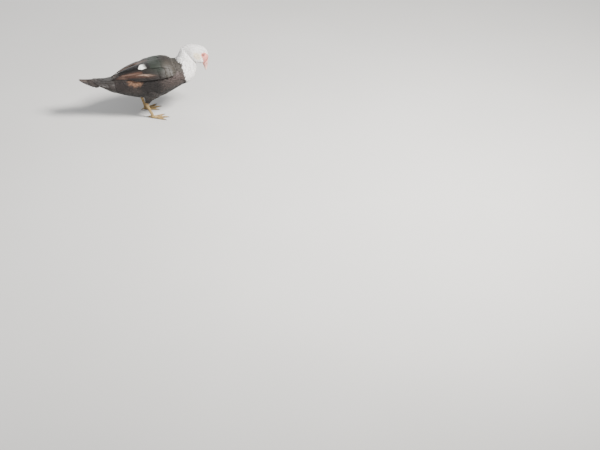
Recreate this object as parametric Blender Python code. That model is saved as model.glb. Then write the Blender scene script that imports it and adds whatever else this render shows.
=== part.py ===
"""A standing muscovy duck, life size, as named solids.

The bird faces +X, its left side is +Y, and it stands on the floor at Z = 0.
Torso, neck, head and bill share one run of cross-sections, each held by a point of the
back line, a point of the belly line and a half width, so their meeting faces match.
"""
import math
import random
from collections import namedtuple

import bmesh
import bpy
from mathutils import Vector

# Driving sizes, in metres.
GAP = 0.0003                # left between two nodes that touch
SEGMENTS = 28               # points round one cross-section of the body
SIDES = {"right": -1, "left": 1}
MIDDLE_X = -0.05025         # middle of the length, in the bird's own measure

# One cross-section: back line point, belly line point, half width, and how far the
# widest point sinks below the middle (0 is an ellipse).
Station = namedtuple("Station", "back belly half_width sink")

BODY = [
    Station((-0.290, 0.2000), (-0.286, 0.1900), 0.026, 0.00),   # 0 end of the tail's flesh
    Station((-0.258, 0.1955), (-0.250, 0.1710), 0.037, 0.00),   # 1 under the tail coverts
    Station((-0.222, 0.1950), (-0.210, 0.1460), 0.043, 0.02),   # 2 root of the tail
    Station((-0.188, 0.2090), (-0.174, 0.1275), 0.052, 0.04),   # 3 rump
    Station((-0.140, 0.2320), (-0.122, 0.1110), 0.069, 0.08),   # 4 vent
    Station((-0.088, 0.2512), (-0.066, 0.0990), 0.084, 0.10),   # 5 thigh
    Station((-0.035, 0.2650), (-0.015, 0.0950), 0.091, 0.10),   # 6 loin
    Station((0.015, 0.2715), (0.032, 0.1025), 0.093, 0.08),     # 7 middle
    Station((0.053, 0.2690), (0.078, 0.1240), 0.088, 0.06),     # 8 shoulder
    Station((0.080, 0.2645), (0.121, 0.1435), 0.078, 0.04),     # 9 breast
    Station((0.098, 0.2650), (0.154, 0.1520), 0.067, 0.02),     # 10 edge of the white bib
    Station((0.107, 0.2740), (0.177, 0.1680), 0.055, 0.00),     # 11 base of the neck
    Station((0.113, 0.2870), (0.190, 0.1910), 0.045, 0.00),     # 12
    Station((0.118, 0.3000), (0.194, 0.2130), 0.038, 0.00),     # 13 middle of the neck
    Station((0.123, 0.3110), (0.194, 0.2310), 0.033, 0.00),     # 14
    Station((0.132, 0.3230), (0.193, 0.2385), 0.0285, 0.00),    # 15 crease between neck and head
    Station((0.147, 0.3285), (0.195, 0.2385), 0.0310, 0.00),    # 16 nape
    Station((0.167, 0.3325), (0.198, 0.2375), 0.0325, 0.00),    # 17 back of the head
    Station((0.190, 0.3292), (0.202, 0.2365), 0.0325, 0.00),    # 18 cheek
    Station((0.213, 0.3215), (0.207, 0.2355), 0.0310, 0.00),    # 19 crown
    Station((0.235, 0.3095), (0.212, 0.2345), 0.0280, 0.00),    # 20 forehead
    Station((0.2475, 0.2920), (0.217, 0.2335), 0.0235, 0.00),   # 21 lores
    Station((0.2515, 0.2745), (0.221, 0.2325), 0.0190, 0.00),   # 22
    Station((0.2510, 0.2575), (0.2240, 0.2310), 0.0150, 0.00),  # 23 root of the bill
]
TAIL_ROOT, BIB_EDGE, CREASE, BILL_ROOT = 2, 10, 15, 23

BILL = [
    Station((0.2505, 0.2565), (0.2242, 0.2305), 0.0130, 0.0),
    Station((0.2503, 0.2435), (0.2262, 0.2245), 0.0122, 0.0),
    Station((0.2493, 0.2315), (0.2285, 0.2185), 0.0120, 0.0),
    Station((0.2477, 0.2195), (0.2308, 0.2115), 0.0126, 0.0),
    Station((0.2457, 0.2085), (0.2330, 0.2050), 0.0130, 0.0),
    Station((0.2430, 0.2005), (0.2355, 0.2003), 0.0112, 0.0),
    Station((0.2407, 0.1963), (0.2382, 0.1973), 0.0055, 0.0),
]
BILL_SEGMENTS = 18
MOUTH = [(0.2225, 0.2465), (0.2295, 0.2375), (0.2322, 0.2255), (0.2342, 0.2135),
         (0.2368, 0.2035), (0.2402, 0.1945), (0.2408, 0.1895)]   # line between the bills
NOSTRIL = (0.2432, 0.2330)          # X and Z of the nostril's middle
NAIL = (0.2418, 0.0, 0.1985)        # middle of the nail at the bill's tip
NOSTRIL_SIZE = (0.0017, 0.0040, 0.0036)

EYE_PLACE = (19.85, 71.0)           # station and degrees from the back line
EYE_RADIUS = 0.0056
EYE_DEPTH = 0.0041                  # of the ball's centre under the skin
LID_OPENING = (0.0056, 0.0049)      # half its length and half its height
LID_RADIUS = 0.0012

WING_PAD = (4.3, 8.9)               # stations that bound the flesh of a folded wing
WING_EDGES = [(10, 57), (13, 66), (18, 73), (26, 72), (40, 58)]
                                    # degrees of its upper and lower edge, from rear to front
WING_THICK = [0.0032, 0.0052, 0.0062, 0.0070, 0.0020]
VANE_THICK = 0.0007                 # of a feather along its shaft
VANE_EDGE = 0.00052
SHAFT_RIDGE = 0.0003                # the shaft stands this much over the vane
VANE_STEPS = (0.0, 0.3, 0.62, 0.86, 1.0)
VANE_WIDTHS = (0.50, 0.92, 1.0, 0.80, 0.30)
COVERT_STEPS = (0.0, 0.45, 0.82, 1.0)
COVERT_WIDTHS = (0.60, 1.0, 0.84, 0.34)

# A tier of a folded wing's feathers, from the lowest to the highest. Roots and tips are
# stations and degrees, lifts are heights over the skin at root, middle and tip, and bow
# shapes the line of the tips.
Tier = namedtuple("Tier", "count roots tips bow lifts width tilt covert")

PRIMARIES = Tier(5, [(4.8, 60), (4.8, 45)], [(2.32, 14), (3.42, 23)], 1.15,
                 (0.0014, 0.0014, 0.0014), 0.0145, 0.0002, False)
PRIMARY_STEP = 0.00092              # each primary lies this much over the last
SECONDARIES = Tier(8, [(6.4, 66), (6.4, 23)], [(4.30, 56), (3.25, 12)], 0.8,
                   (0.0048, 0.0076, 0.0070), 0.0165, 0.00115, False)
GREATER_COVERTS = Tier(8, [(7.8, 66), (7.8, 28)], [(5.55, 63), (5.30, 18)], 1.0,
                       (0.0050, 0.0088, 0.0087), 0.0165, 0.00115, True)
MIDDLE_COVERTS = Tier(7, [(8.45, 60), (8.45, 41)], [(6.75, 66), (6.75, 27)], 1.0,
                      (0.0030, 0.0092, 0.0100), 0.0160, 0.0010, True)

TAIL_PAIRS = 8
TAIL_ROOT_X, TAIL_ROOT_Z = -0.262, 0.1958
TAIL_LENGTH = 0.090                 # of the middle pair out of the flesh
TAIL_SHORTER = 0.052                # outermost feather's tip ahead of the middle one's
TAIL_HALF_WIDTH = 0.036             # outermost tip from the middle
TAIL_RISE = 0.0145                  # of the middle pair's tips over their roots
TAIL_DROP = 0.0120                  # outermost tip under the middle pair
TAIL_VANE = 0.0155                  # width of one tail feather
TAIL_ROOTS = (0.003, 0.024, 0.0105) # first root from the middle, spread and fall of the roots
TAIL_TILT = 0.2                     # slope of one feather, its outer edge down
TAIL_SAG = 0.002                    # of a feather between its ends
ODD_LIFT = 0.0011                   # keeps the left middle feather off the right one
TAIL_COVERTS = 5
COVERT_LIFTS = (0.0, 0.0022, 0.0024)
COVERT_STAGGER = 0.0009             # every other covert lies this much higher

HOCK = (-0.058, 0.049, 0.072)       # X, Y out from the middle, Z
FOOT = (-0.040, 0.048, 0.0140)      # top of the foot, under the shank
THIGH_TOP = (-0.022, 0.050, 0.158)
THIGH_RADII = (0.050, 0.054, 0.047, 0.031, 0.0185, 0.0125)
SHANK_RADIUS = 0.0062
HOCK_RADIUS = 0.0088
STRIDE = {"right": 0.012, "left": -0.006}   # each foot's place along the bird
TOE_TURN = 8.0                      # degrees that a foot points outwards
TOES = {"inner": (-27.0, 0.058), "middle": (0.0, 0.070), "outer": (24.0, 0.062)}
TOE_RADIUS = 0.0044
TOE_TIP_RADIUS = 0.0026
TOE_REACH = (0.0, 0.18, 0.38, 0.50, 0.68, 0.80, 1.0)     # shares of a toe's length
TOE_RISE = (0.0068, 0.0048, 0.0037, 0.0040, 0.0030, 0.0033, TOE_TIP_RADIUS)
TOE_WIDTHS = (1.30, 1.05, 0.84, 1.0, 0.76, 0.86, TOE_TIP_RADIUS / TOE_RADIUS)
HIND_TOE = 0.017
HIND_TURN = 0.5                     # radians that it points outwards
HIND_RADII = (0.0040, 0.0032, 0.0022)
WEB_THICKNESS = 0.0014
CLAW_LENGTH = 0.0105
CLAW_RADIUS = 0.0020
SEED = 7
CARUNCLE_RADII = (0.0026, 0.0040)   # bulbs of the bare face

FINISHES = {
    "dark_plumage": ((0.050, 0.042, 0.038), 0.60),
    "glossy_plumage": ((0.040, 0.052, 0.044), 0.42),
    "white_plumage": ((0.860, 0.835, 0.800), 0.70),
    "bill_horn": ((0.780, 0.420, 0.360), 0.45),
    "leg_skin": ((0.330, 0.230, 0.120), 0.60),
    "claw_horn": ((0.060, 0.050, 0.045), 0.40),
    "eye": ((0.030, 0.018, 0.010), 0.08),
}


def finish(name):
    """The material of that name, made once."""
    found = bpy.data.materials.get(name)
    if found:
        return found
    colour, roughness = FINISHES[name]
    made = bpy.data.materials.new(name)
    made.use_nodes = True
    shader = made.node_tree.nodes["Principled BSDF"]
    shader.inputs["Base Color"].default_value = (*colour, 1.0)
    shader.inputs["Roughness"].default_value = roughness
    shader.inputs["Metallic"].default_value = 0.0
    return made


def mesh_object(name, points, faces, material=None):
    """A mesh object from points and faces, its faces turned outwards."""
    mesh = bpy.data.meshes.new(name)
    mesh.from_pydata([tuple(p) for p in points], [], faces)
    solid = bmesh.new()
    solid.from_mesh(mesh)
    bmesh.ops.recalc_face_normals(solid, faces=solid.faces)
    if solid.calc_volume(signed=True) < 0:
        bmesh.ops.reverse_faces(solid, faces=solid.faces)
    solid.to_mesh(mesh)
    solid.free()
    made = bpy.data.objects.new(name, mesh)
    bpy.context.scene.collection.objects.link(made)
    if material:
        mesh.materials.append(finish(material))
    return made


def between(values, t):
    """A smooth curve through a list of number tuples, at t from 0 to len - 1."""
    last = len(values) - 1
    low = min(int(t), last - 1)
    share = t - low
    around = [values[min(max(low + k, 0), last)] for k in (-1, 0, 1, 2)]
    made = []
    for a, b, c, d in zip(*around):
        made.append(0.5 * (2 * b + (c - a) * share + (2 * a - 5 * b + 4 * c - d) * share ** 2
                           + (3 * b - a - 3 * c + d) * share ** 3))
    return made


def section(stations, t):
    """Middle, up vector, half height, half width and sink of the cross-section at t."""
    flat = [(*s.back, *s.belly, s.half_width, s.sink) for s in stations]
    bx, bz, vx, vz, half_width, sink = between(flat, t)
    back, belly = Vector((bx, 0, bz)), Vector((vx, 0, vz))
    return (back + belly) / 2, (back - belly).normalized(), (back - belly).length / 2, \
        half_width, sink


def skin_point(stations, t, angle, lift=0.0, side=1):
    """A point of the skin: angle in radians from the back line, lift outwards."""
    middle, up, height, width, sink = section(stations, t)
    across = math.sin(angle) * (1 - sink * math.cos(angle))
    return middle + up * (height + lift) * math.cos(angle) \
        + Vector((0, side * (width + lift) * across, 0))


def outward(stations, t, angle, side=1):
    """The skin's normal at that place."""
    step = 0.02
    along = skin_point(stations, t + step, angle, 0, side) \
        - skin_point(stations, t - step, angle, 0, side)
    around = skin_point(stations, t, angle + step, 0, side) \
        - skin_point(stations, t, angle - step, 0, side)
    normal = along.cross(around).normalized()
    middle = section(stations, t)[0]
    return normal if normal.dot(skin_point(stations, t, angle, 0, side) - middle) > 0 else -normal


def ring(stations, t, segments, lift=0.0):
    """The closed cross-section at t."""
    return [skin_point(stations, t, 2 * math.pi * k / segments, lift) for k in range(segments)]


def loft(rings):
    """Points and faces of a closed solid through rings of equal count, ends capped flat."""
    count = len(rings[0])
    points = [p for one in rings for p in one]
    faces = [tuple(range(count)), tuple(range(len(points) - count, len(points)))[::-1]]
    for r in range(len(rings) - 1):
        for k in range(count):
            a, b = r * count + k, r * count + (k + 1) % count
            faces.append((a, b, b + count, a + count))
    return points, faces


def plate(name, upper, under, columns, material=None):
    """A closed plate between two grids of points, split into triangles alike on both faces."""
    count, rows = len(upper), len(upper) // columns
    faces = []
    for r in range(rows - 1):
        for c in range(columns - 1):
            k = r * columns + c
            near, far = (k, k + 1), (k + columns, k + columns + 1)
            for tri in ((near[0], near[1], far[1]), (near[0], far[1], far[0])):
                faces.append(tri)
                faces.append(tuple(i + count for i in tri[::-1]))
    rim = [r * columns for r in range(rows)]
    rim += [(rows - 1) * columns + c for c in range(1, columns)]
    rim += [r * columns + columns - 1 for r in range(rows - 2, -1, -1)]
    rim += list(range(columns - 2, 0, -1))
    for k, here in enumerate(rim):
        there = rim[(k + 1) % len(rim)]
        faces.append((here, there, there + count, here + count))
    return mesh_object(name, upper + under, faces, material)


def steps(first, last, per_station):
    """Even values from first to last, about per_station to a station."""
    count = max(2, round((last - first) * per_station)) + 1
    return [first + (last - first) * k / (count - 1) for k in range(count)]


def shifted(points, distance):
    """A ring moved along its own normal, away from the first of two nodes that meet there."""
    normal = (points[1] - points[0]).cross(points[len(points) // 3] - points[0]).normalized()
    return [p + normal * distance for p in points]


def body_piece(name, first, last, per_station, material, lift=0.0, trim=True):
    """A length of the body between two stations, its cut faces half a gap short."""
    rings = [ring(BODY, t, SEGMENTS, lift) for t in steps(first, last, per_station)]
    if trim:
        for end, inner in ((0, 1), (-1, -2)):
            towards = sum(rings[inner], Vector()) / SEGMENTS - sum(rings[end], Vector()) / SEGMENTS
            moved = shifted(rings[end], GAP / 2)
            if (moved[0] - rings[end][0]).dot(towards) < 0:
                moved = shifted(rings[end], -GAP / 2)
            rings[end] = moved
    return mesh_object(name, *loft(rings), material)


def largest_only(solid):
    """Keeps the largest closed surface of a mesh object."""
    made = bmesh.new()
    made.from_mesh(solid.data)
    left = set(made.faces)
    islands = []
    while left:
        stack = [left.pop()]
        island = list(stack)
        while stack:
            for edge in stack.pop().edges:
                for face in edge.link_faces:
                    if face in left:
                        left.remove(face)
                        island.append(face)
                        stack.append(face)
        islands.append(island)
    islands.sort(key=lambda faces: sum(f.calc_area() for f in faces))
    scraps = [face for island in islands[:-1] for face in island]
    bmesh.ops.delete(made, geom=scraps, context="FACES")
    made.to_mesh(solid.data)
    made.free()


def combine(solid, others, operation, solver="EXACT"):
    """One applied Boolean between a solid and a collection of others, which are removed."""
    group = bpy.data.collections.new("pieces of " + solid.name)
    for other in others:
        group.objects.link(other)
    modifier = solid.modifiers.new("combine", "BOOLEAN")
    modifier.operation = operation
    modifier.solver = solver
    modifier.operand_type = "COLLECTION"
    modifier.collection = group
    bpy.context.view_layer.update()
    graph = bpy.context.evaluated_depsgraph_get()
    made = bpy.data.meshes.new_from_object(solid.evaluated_get(graph))
    solid.modifiers.remove(modifier)
    solid.data = made
    for other in others:
        bpy.data.objects.remove(other)
    bpy.data.collections.remove(group)
    largest_only(solid)


def tube(name, centres, radii, sides, material=None, flatten=1.0):
    """A closed tube through centres, with one radius each; flatten squeezes it sideways."""
    rings = []
    for k, centre in enumerate(centres):
        ahead = centres[min(k + 1, len(centres) - 1)] - centres[max(k - 1, 0)]
        ahead.normalize()
        across = Vector((0, 1, 0)) if abs(ahead.y) < 0.8 else Vector((1, 0, 0))
        first = (across - ahead * across.dot(ahead)).normalized()
        second = ahead.cross(first)
        rings.append([centre + first * radii[k] * flatten * math.cos(2 * math.pi * s / sides)
                      + second * radii[k] * math.sin(2 * math.pi * s / sides)
                      for s in range(sides)])
    return mesh_object(name, *loft(rings), material)


def ball(name, centre, radius, columns, rows, material=None, squash=(1, 1, 1)):
    """A closed ball or ellipsoid."""
    made = bmesh.new()
    bmesh.ops.create_uvsphere(made, u_segments=columns, v_segments=rows, radius=radius)
    for vertex in made.verts:
        vertex.co = Vector(centre) + Vector([vertex.co[i] * squash[i] for i in range(3)])
    mesh = bpy.data.meshes.new(name)
    made.to_mesh(mesh)
    made.free()
    solid = bpy.data.objects.new(name, mesh)
    bpy.context.scene.collection.objects.link(solid)
    if material:
        mesh.materials.append(finish(material))
    return solid


def smooth(solid, angle=35.0):
    """Smooth shading with sharp edges where faces turn by more than angle degrees."""
    solid.data.shade_smooth()
    solid.data.set_sharp_from_angle(angle=math.radians(angle))


def make_eye(name, side):
    """An eyeball, its place on the head and the cutter of its socket."""
    station, degrees = EYE_PLACE
    place = skin_point(BODY, station, math.radians(degrees), 0, side)
    normal = outward(BODY, station, math.radians(degrees), side)
    centre = place - normal * EYE_DEPTH
    eye = ball(name, centre, EYE_RADIUS, 12, 8, "eye")
    socket = ball(name + "_socket", centre, EYE_RADIUS + GAP, 12, 8)
    rim = []
    first = normal.cross(Vector((0, 0, 1))).normalized()
    second = normal.cross(first)
    turns = 12
    for k in range(turns):
        angle = 2 * math.pi * k / turns
        rim.append(place + first * LID_OPENING[0] * math.cos(angle)
                   + second * LID_OPENING[1] * math.sin(angle))
    points, faces = [], []
    around = 5
    for k in range(turns):
        out = (rim[k] - place).normalized()
        for s in range(around):
            turn = 2 * math.pi * s / around
            points.append(rim[k] + (out * math.cos(turn) + normal * math.sin(turn)) * LID_RADIUS)
    for k in range(turns):
        for s in range(around):
            a, b = k * around + s, k * around + (s + 1) % around
            c, d = (a + around) % len(points), (b + around) % len(points)
            faces.append((a, b, d, c))
    lids = mesh_object(name + "_lids", points, faces)
    return eye, socket, lids


def caruncles(side, eye_centre):
    """Bulbs of bare skin round the eye and down to the bill."""
    bulbs = []
    for r in range(4):
        t = 20.3 + 0.76 * r
        for c in range(3):
            angle = math.radians(40 + 30 * c + 14 * (r % 2) + random.uniform(-4, 4))
            place = skin_point(BODY, t + random.uniform(-0.1, 0.1), angle, 0, side)
            radius = random.uniform(*CARUNCLE_RADII)
            normal = outward(BODY, t, angle, side)
            if (place - eye_centre).length < EYE_RADIUS + 0.0050:
                continue
            bulbs.append(ball("bulb", place - normal * radius * 0.5, radius, 6, 4))
    return bulbs


def make_head():
    """The head with lids, sockets and the caruncles of the bare face, and both eyes."""
    head = body_piece("head", CREASE, BILL_ROOT, 1.6, "white_plumage")
    eyes, sockets, added = [], [], []
    random.seed(SEED)
    for side_name, side in SIDES.items():
        eye, socket, lids = make_eye("eye_" + side_name, side)
        eyes.append(eye)
        sockets.append(socket)
        added.append(lids)
        station, degrees = EYE_PLACE
        added += caruncles(side, skin_point(BODY, station, math.radians(degrees), 0, side))
    combine(head, added, "UNION", "MANIFOLD")
    combine(head, sockets, "DIFFERENCE", "MANIFOLD")
    return [head, *eyes]


def mouth_region(name, upper):
    """A block that holds all above, or all below, the line of the mouth."""
    half = 0.03
    outer = 0.05 if upper else -0.05
    line = [Vector((x + (-GAP / 2 if upper else GAP / 2), 0, z)) for x, z in MOUTH]
    line[0] += (line[0] - line[1])
    far = [p + Vector((outer, 0, 0)) for p in line]
    outline = line + far[::-1]
    points = [Vector((p.x, y, p.z)) for y in (-half, half) for p in outline]
    count = len(outline)
    faces = [(k, (k + 1) % count, (k + 1) % count + count, k + count) for k in range(count)]
    strip = len(line)
    for base, turn in ((0, 1), (count, -1)):
        for k in range(strip - 1):
            faces.append(tuple(base + i for i in
                               (k, k + 1, count - 2 - k, count - 1 - k)[::turn]))
    return mesh_object(name, points, faces)


def make_bill():
    """Upper and lower bill, parted along the mouth, with nostrils and a nail."""
    made = []
    for name, upper, narrow in (("bill_upper", True, 1.0), ("bill_lower", False, 0.88)):
        shape = [Station(s.back, s.belly, s.half_width * narrow, s.sink) for s in BILL]
        rings = [ring(shape, t, BILL_SEGMENTS) for t in steps(0, len(BILL) - 1, 2)]
        bill = mesh_object(name, *loft(rings), "bill_horn")
        if upper:
            nail = ball("nail", NAIL, 0.0052, 8, 6, None, (0.62, 0.72, 1.0))
            combine(bill, [nail], "UNION")
        combine(bill, [mouth_region(name + "_other", not upper)], "DIFFERENCE")
        if upper:
            pits = [ball("nostril", (NOSTRIL[0], side * 0.0108, NOSTRIL[1]), 1.0, 8, 6, None,
                         NOSTRIL_SIZE) for side in SIDES.values()]
            combine(bill, pits, "DIFFERENCE")
        made.append(bill)
    return made


def wing_pad(name, side):
    """The flesh of a folded wing, sunk 4 mm into the flank."""
    outer, inner = [], []
    columns = 7
    for t in steps(*WING_PAD, 1.6):
        share = (t - WING_PAD[0]) / (WING_PAD[1] - WING_PAD[0]) * (len(WING_EDGES) - 1)
        upper, lower = between(WING_EDGES, share)
        height = between([(h,) for h in WING_THICK], share)[0]
        for c in range(columns):
            angle = math.radians(upper + (lower - upper) * c / (columns - 1))
            crown = math.sin(math.pi * (0.08 + 0.84 * c / (columns - 1))) ** 0.5
            outer.append(skin_point(BODY, t, angle, height * crown, side))
            inner.append(skin_point(BODY, t, angle, -0.004, side))
    return plate(name, outer, inner, columns, "glossy_plumage")


def vane(root, tip, lifts, width, tilt, side, covert=False):
    """A feather over the body, from root to tip, both given as station and degrees.

    lifts are its heights over the skin at root, middle and tip. tilt raises its lower edge
    and lowers its upper one, so that each feather lies over the next one down.
    """
    grid = zip(COVERT_STEPS, COVERT_WIDTHS) if covert else zip(VANE_STEPS, VANE_WIDTHS)
    upper, under = [], []
    for share, wide in grid:
        t = root[0] + (tip[0] - root[0]) * share
        angle = math.radians(root[1] + (tip[1] - root[1]) * share)
        low, middle, high = lifts
        lift = low * (1 - share) * (1 - 2 * share) + middle * 4 * share * (1 - share) \
            + high * share * (2 * share - 1)
        step = 0.02
        radius = (skin_point(BODY, t, angle + step) - skin_point(BODY, t, angle)).length / step
        for edge in (-1, 0, 1):
            turn = angle + edge * wide * width / 2 / radius
            over = lift + edge * wide * tilt + (SHAFT_RIDGE if edge == 0 else 0)
            thick = VANE_THICK if edge == 0 else VANE_EDGE
            upper.append(skin_point(BODY, t, turn, over, side))
            under.append(skin_point(BODY, t, turn, over - thick, side))
    return plate("vane", upper, under, 3)


def tier_vanes(tier, side, step=0.0):
    """The feathers of one tier, each lying step higher than the last."""
    feathers = []
    for k in range(tier.count):
        share = k / (tier.count - 1)
        bowed = share ** tier.bow
        root = [a + (b - a) * share for a, b in zip(*tier.roots)]
        tip = (tier.tips[0][0] + (tier.tips[1][0] - tier.tips[0][0]) * bowed,
               tier.tips[0][1] + (tier.tips[1][1] - tier.tips[0][1]) * share)
        lifts = [lift + step * k for lift in tier.lifts]
        feathers.append(vane(root, tip, lifts, tier.width, tier.tilt, side, tier.covert))
    return feathers


def make_wing(side_name, side):
    """A folded wing: its flesh and tiers of primaries, secondaries and coverts."""
    feathers = tier_vanes(PRIMARIES, side, PRIMARY_STEP)
    for tier in (SECONDARIES, GREATER_COVERTS, MIDDLE_COVERTS):
        feathers += tier_vanes(tier, side)
    wing = wing_pad("wing_" + side_name, side)
    combine(wing, feathers, "UNION", "MANIFOLD")
    clear_of_body(wing, TAIL_ROOT, BIB_EDGE)
    return wing


def clear_of_body(solid, first, last):
    """Cuts a solid back from the torso or tail flesh, leaving the gap."""
    cutter = body_piece("cutter", first, last, 3, None, GAP, False)
    combine(solid, [cutter], "DIFFERENCE", "MANIFOLD")


def tail_vane(k, side):
    """The k-th tail feather from the middle, with its outer edge the lower one."""
    share = k / (TAIL_PAIRS - 1)
    length = TAIL_LENGTH - TAIL_SHORTER * share ** 1.4
    first, spread, fall = TAIL_ROOTS
    root = Vector((TAIL_ROOT_X, side * (first + spread * share), TAIL_ROOT_Z - fall * share))
    tip = Vector((TAIL_ROOT_X - length, side * (0.004 + (TAIL_HALF_WIDTH - 0.004) * share),
                  TAIL_ROOT_Z + TAIL_RISE * length / TAIL_LENGTH - TAIL_DROP * share))
    if k == 0 and side > 0:
        tip.z += ODD_LIFT
        root.z += ODD_LIFT
    upper, under = [], []
    for along, wide in zip(VANE_STEPS, VANE_WIDTHS):
        middle = root.lerp(tip, along) - Vector((0, 0, TAIL_SAG * math.sin(math.pi * along)))
        for edge in (-1, 0, 1):
            out = side * edge * wide * TAIL_VANE / 2
            thick = VANE_THICK if edge == 0 else VANE_EDGE
            drop = TAIL_TILT * abs(out) * edge if edge else -SHAFT_RIDGE
            place = middle + Vector((0, out, -drop))
            upper.append(place)
            under.append(place - Vector((0, 0, thick)))
    return plate("vane", upper, under, 3)


def make_tail():
    """The tail's flesh, its fan of feathers, and the coverts over and under their roots."""
    tail = body_piece("tail", 0, TAIL_ROOT, 2.5, "dark_plumage")
    feathers = [tail_vane(k, side) for side in SIDES.values() for k in range(TAIL_PAIRS)]
    for k in range(TAIL_COVERTS):
        turn = -1 + 2 * k / (TAIL_COVERTS - 1)
        side = -1 if turn < 0 else 1
        lifts = [lift + (COVERT_STAGGER * (k % 2) if lift else 0) for lift in COVERT_LIFTS]
        upper = (1.75, 52 * abs(turn)), (0.35 - 0.45 * (1 - abs(turn)), 40 * abs(turn))
        under = (1.75, 180 - 56 * abs(turn)), (0.15, 180 - 50 * abs(turn))
        feathers.append(vane(*upper, lifts, 0.016, 0.0, side, True))
        feathers.append(vane(*under, lifts, 0.017, 0.0, side, True))
    combine(tail, feathers, "UNION", "MANIFOLD")
    cutter = body_piece("cutter", TAIL_ROOT, BIB_EDGE, 3, None, GAP, False)
    combine(tail, [cutter], "DIFFERENCE", "MANIFOLD")
    return tail


def leg_line(side_name, side):
    """Thigh top, hock and foot of one leg."""
    stride = Vector((STRIDE[side_name], 0, 0))
    out = Vector((1, side, 1))
    top, hock, foot = (Vector([a * b for a, b in zip(p, out)]) for p in (THIGH_TOP, HOCK, FOOT))
    return top, hock + stride * 0.6, foot + stride


def make_leg(side_name, side):
    """Feathered thigh and bare shank."""
    top, hock, foot = leg_line(side_name, side)
    down = (hock - top).normalized()
    count = len(THIGH_RADII)
    end = hock - down * 0.010
    centres = [top + (end - top) * k / (count - 1) for k in range(count)]
    thigh = tube("thigh_" + side_name, centres, THIGH_RADII, 18, "dark_plumage", 0.78)
    clear_of_body(thigh, TAIL_ROOT, BIB_EDGE)
    start = end + down * GAP
    shin = (foot - hock).normalized()
    line = [start, start + down * 0.0045, hock - down * 0.001, hock + shin * 0.006,
            hock + shin * 0.014, hock + (foot - hock) * 0.62, foot + Vector((0, 0, 0.004)), foot]
    radii = [SHANK_RADIUS * 1.05, SHANK_RADIUS * 1.05, HOCK_RADIUS, HOCK_RADIUS * 0.93,
             SHANK_RADIUS * 1.05, SHANK_RADIUS * 0.95, SHANK_RADIUS * 1.1, SHANK_RADIUS * 1.1]
    shank = tube("shank_" + side_name, line, radii, 12, "leg_skin", 0.82)
    return [thigh, shank]


def make_foot(side_name, side):
    """A webbed foot, flat underneath, and its claws."""
    heel = leg_line(side_name, side)[2]
    ankle = Vector((heel.x, heel.y, 0))
    pieces, claws, lines = [], [], {}
    for toe, (degrees, length) in TOES.items():
        turn = math.radians(side * (degrees + TOE_TURN))
        ahead = Vector((math.cos(turn), math.sin(turn), 0))
        centres = [ankle + ahead * length * reach + Vector((0, 0, rise))
                   for reach, rise in zip(TOE_REACH, TOE_RISE)]
        radii = [TOE_RADIUS * wide for wide in TOE_WIDTHS]
        lines[toe] = (ankle, ahead, length)
        pieces.append(tube("toe", centres, radii, 8))
        claws.append(make_claw(f"claw_{side_name}_{toe}", *centres[-2:]))
    back = Vector((-math.cos(HIND_TURN), -math.sin(side * HIND_TURN), 0))
    centres = [ankle + Vector((0, 0, 0.0085)), ankle + back * 0.010 + Vector((0, 0, 0.0080)),
               ankle + back * HIND_TOE + Vector((0, 0, 0.0062))]
    pieces.append(tube("toe", centres, HIND_RADII, 8))
    claws.append(make_claw(f"claw_{side_name}_hind", *centres[-2:]))
    for first, second in (("inner", "middle"), ("middle", "outer")):
        pieces.append(web(lines[first], lines[second]))
    foot = tube("foot_" + side_name, [heel - Vector((0, 0, GAP)), heel - Vector((0, 0, 0.004)),
                                      ankle + Vector((0.001, 0, 0.002))],
                [SHANK_RADIUS * 1.1, SHANK_RADIUS * 1.15, SHANK_RADIUS * 1.2], 12, "leg_skin", 0.9)
    combine(foot, pieces, "UNION", "MANIFOLD")
    floor = box("floor", (-0.2, -0.2, -0.05), (0.2, 0.2, 0.0))
    combine(foot, [floor], "DIFFERENCE", "MANIFOLD")
    return [foot, *claws]


def box(name, low, high):
    """An upright block between two corners."""
    points = [Vector((x, y, z)) for x in (low[0], high[0]) for y in (low[1], high[1])
              for z in (low[2], high[2])]
    faces = [(0, 1, 3, 2), (4, 6, 7, 5), (0, 4, 5, 1), (2, 3, 7, 6), (0, 2, 6, 4), (1, 5, 7, 3)]
    return mesh_object(name, points, faces)


def web(first, second):
    """The skin between two toes, with a hollow front edge."""
    rows, columns = 6, 5
    upper, under = [], []
    for r in range(rows):
        for c in range(columns):
            share = c / (columns - 1)
            reach = (0.16 + 0.76 * r / (rows - 1)) * (1 - 0.17 * math.sin(math.pi * share))
            ends = [base + ahead * length * reach for base, ahead, length in (first, second)]
            place = ends[0].lerp(ends[1], share)
            sag = 0.0006 * math.sin(math.pi * share)
            upper.append(place + Vector((0, 0, 0.0022 - sag)))
            under.append(place + Vector((0, 0, 0.0022 - sag - WEB_THICKNESS)))
    return plate("web", upper, under, columns)


def make_claw(name, before, root):
    """A curved claw that starts at a toe's end face, the toe coming from before to root."""
    toe = (root - before).normalized()
    ahead = Vector((toe.x, toe.y, 0)).normalized()
    start = root + toe * GAP
    centres, radii = [start, start + toe * 0.0008], [CLAW_RADIUS, CLAW_RADIUS]
    for k in range(1, 5):
        share = k / 4
        reach = 0.0008 + CLAW_LENGTH * math.sin(share * 1.15) / math.sin(1.15)
        radius = CLAW_RADIUS * (1 - 0.86 * share)
        place = start + ahead * reach
        place.z = max(start.z - CLAW_LENGTH * 0.30 * share ** 2, radius + 0.0005)
        centres.append(place)
        radii.append(radius)
    return tube(name, centres, radii, 7, "claw_horn", 0.8)


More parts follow.
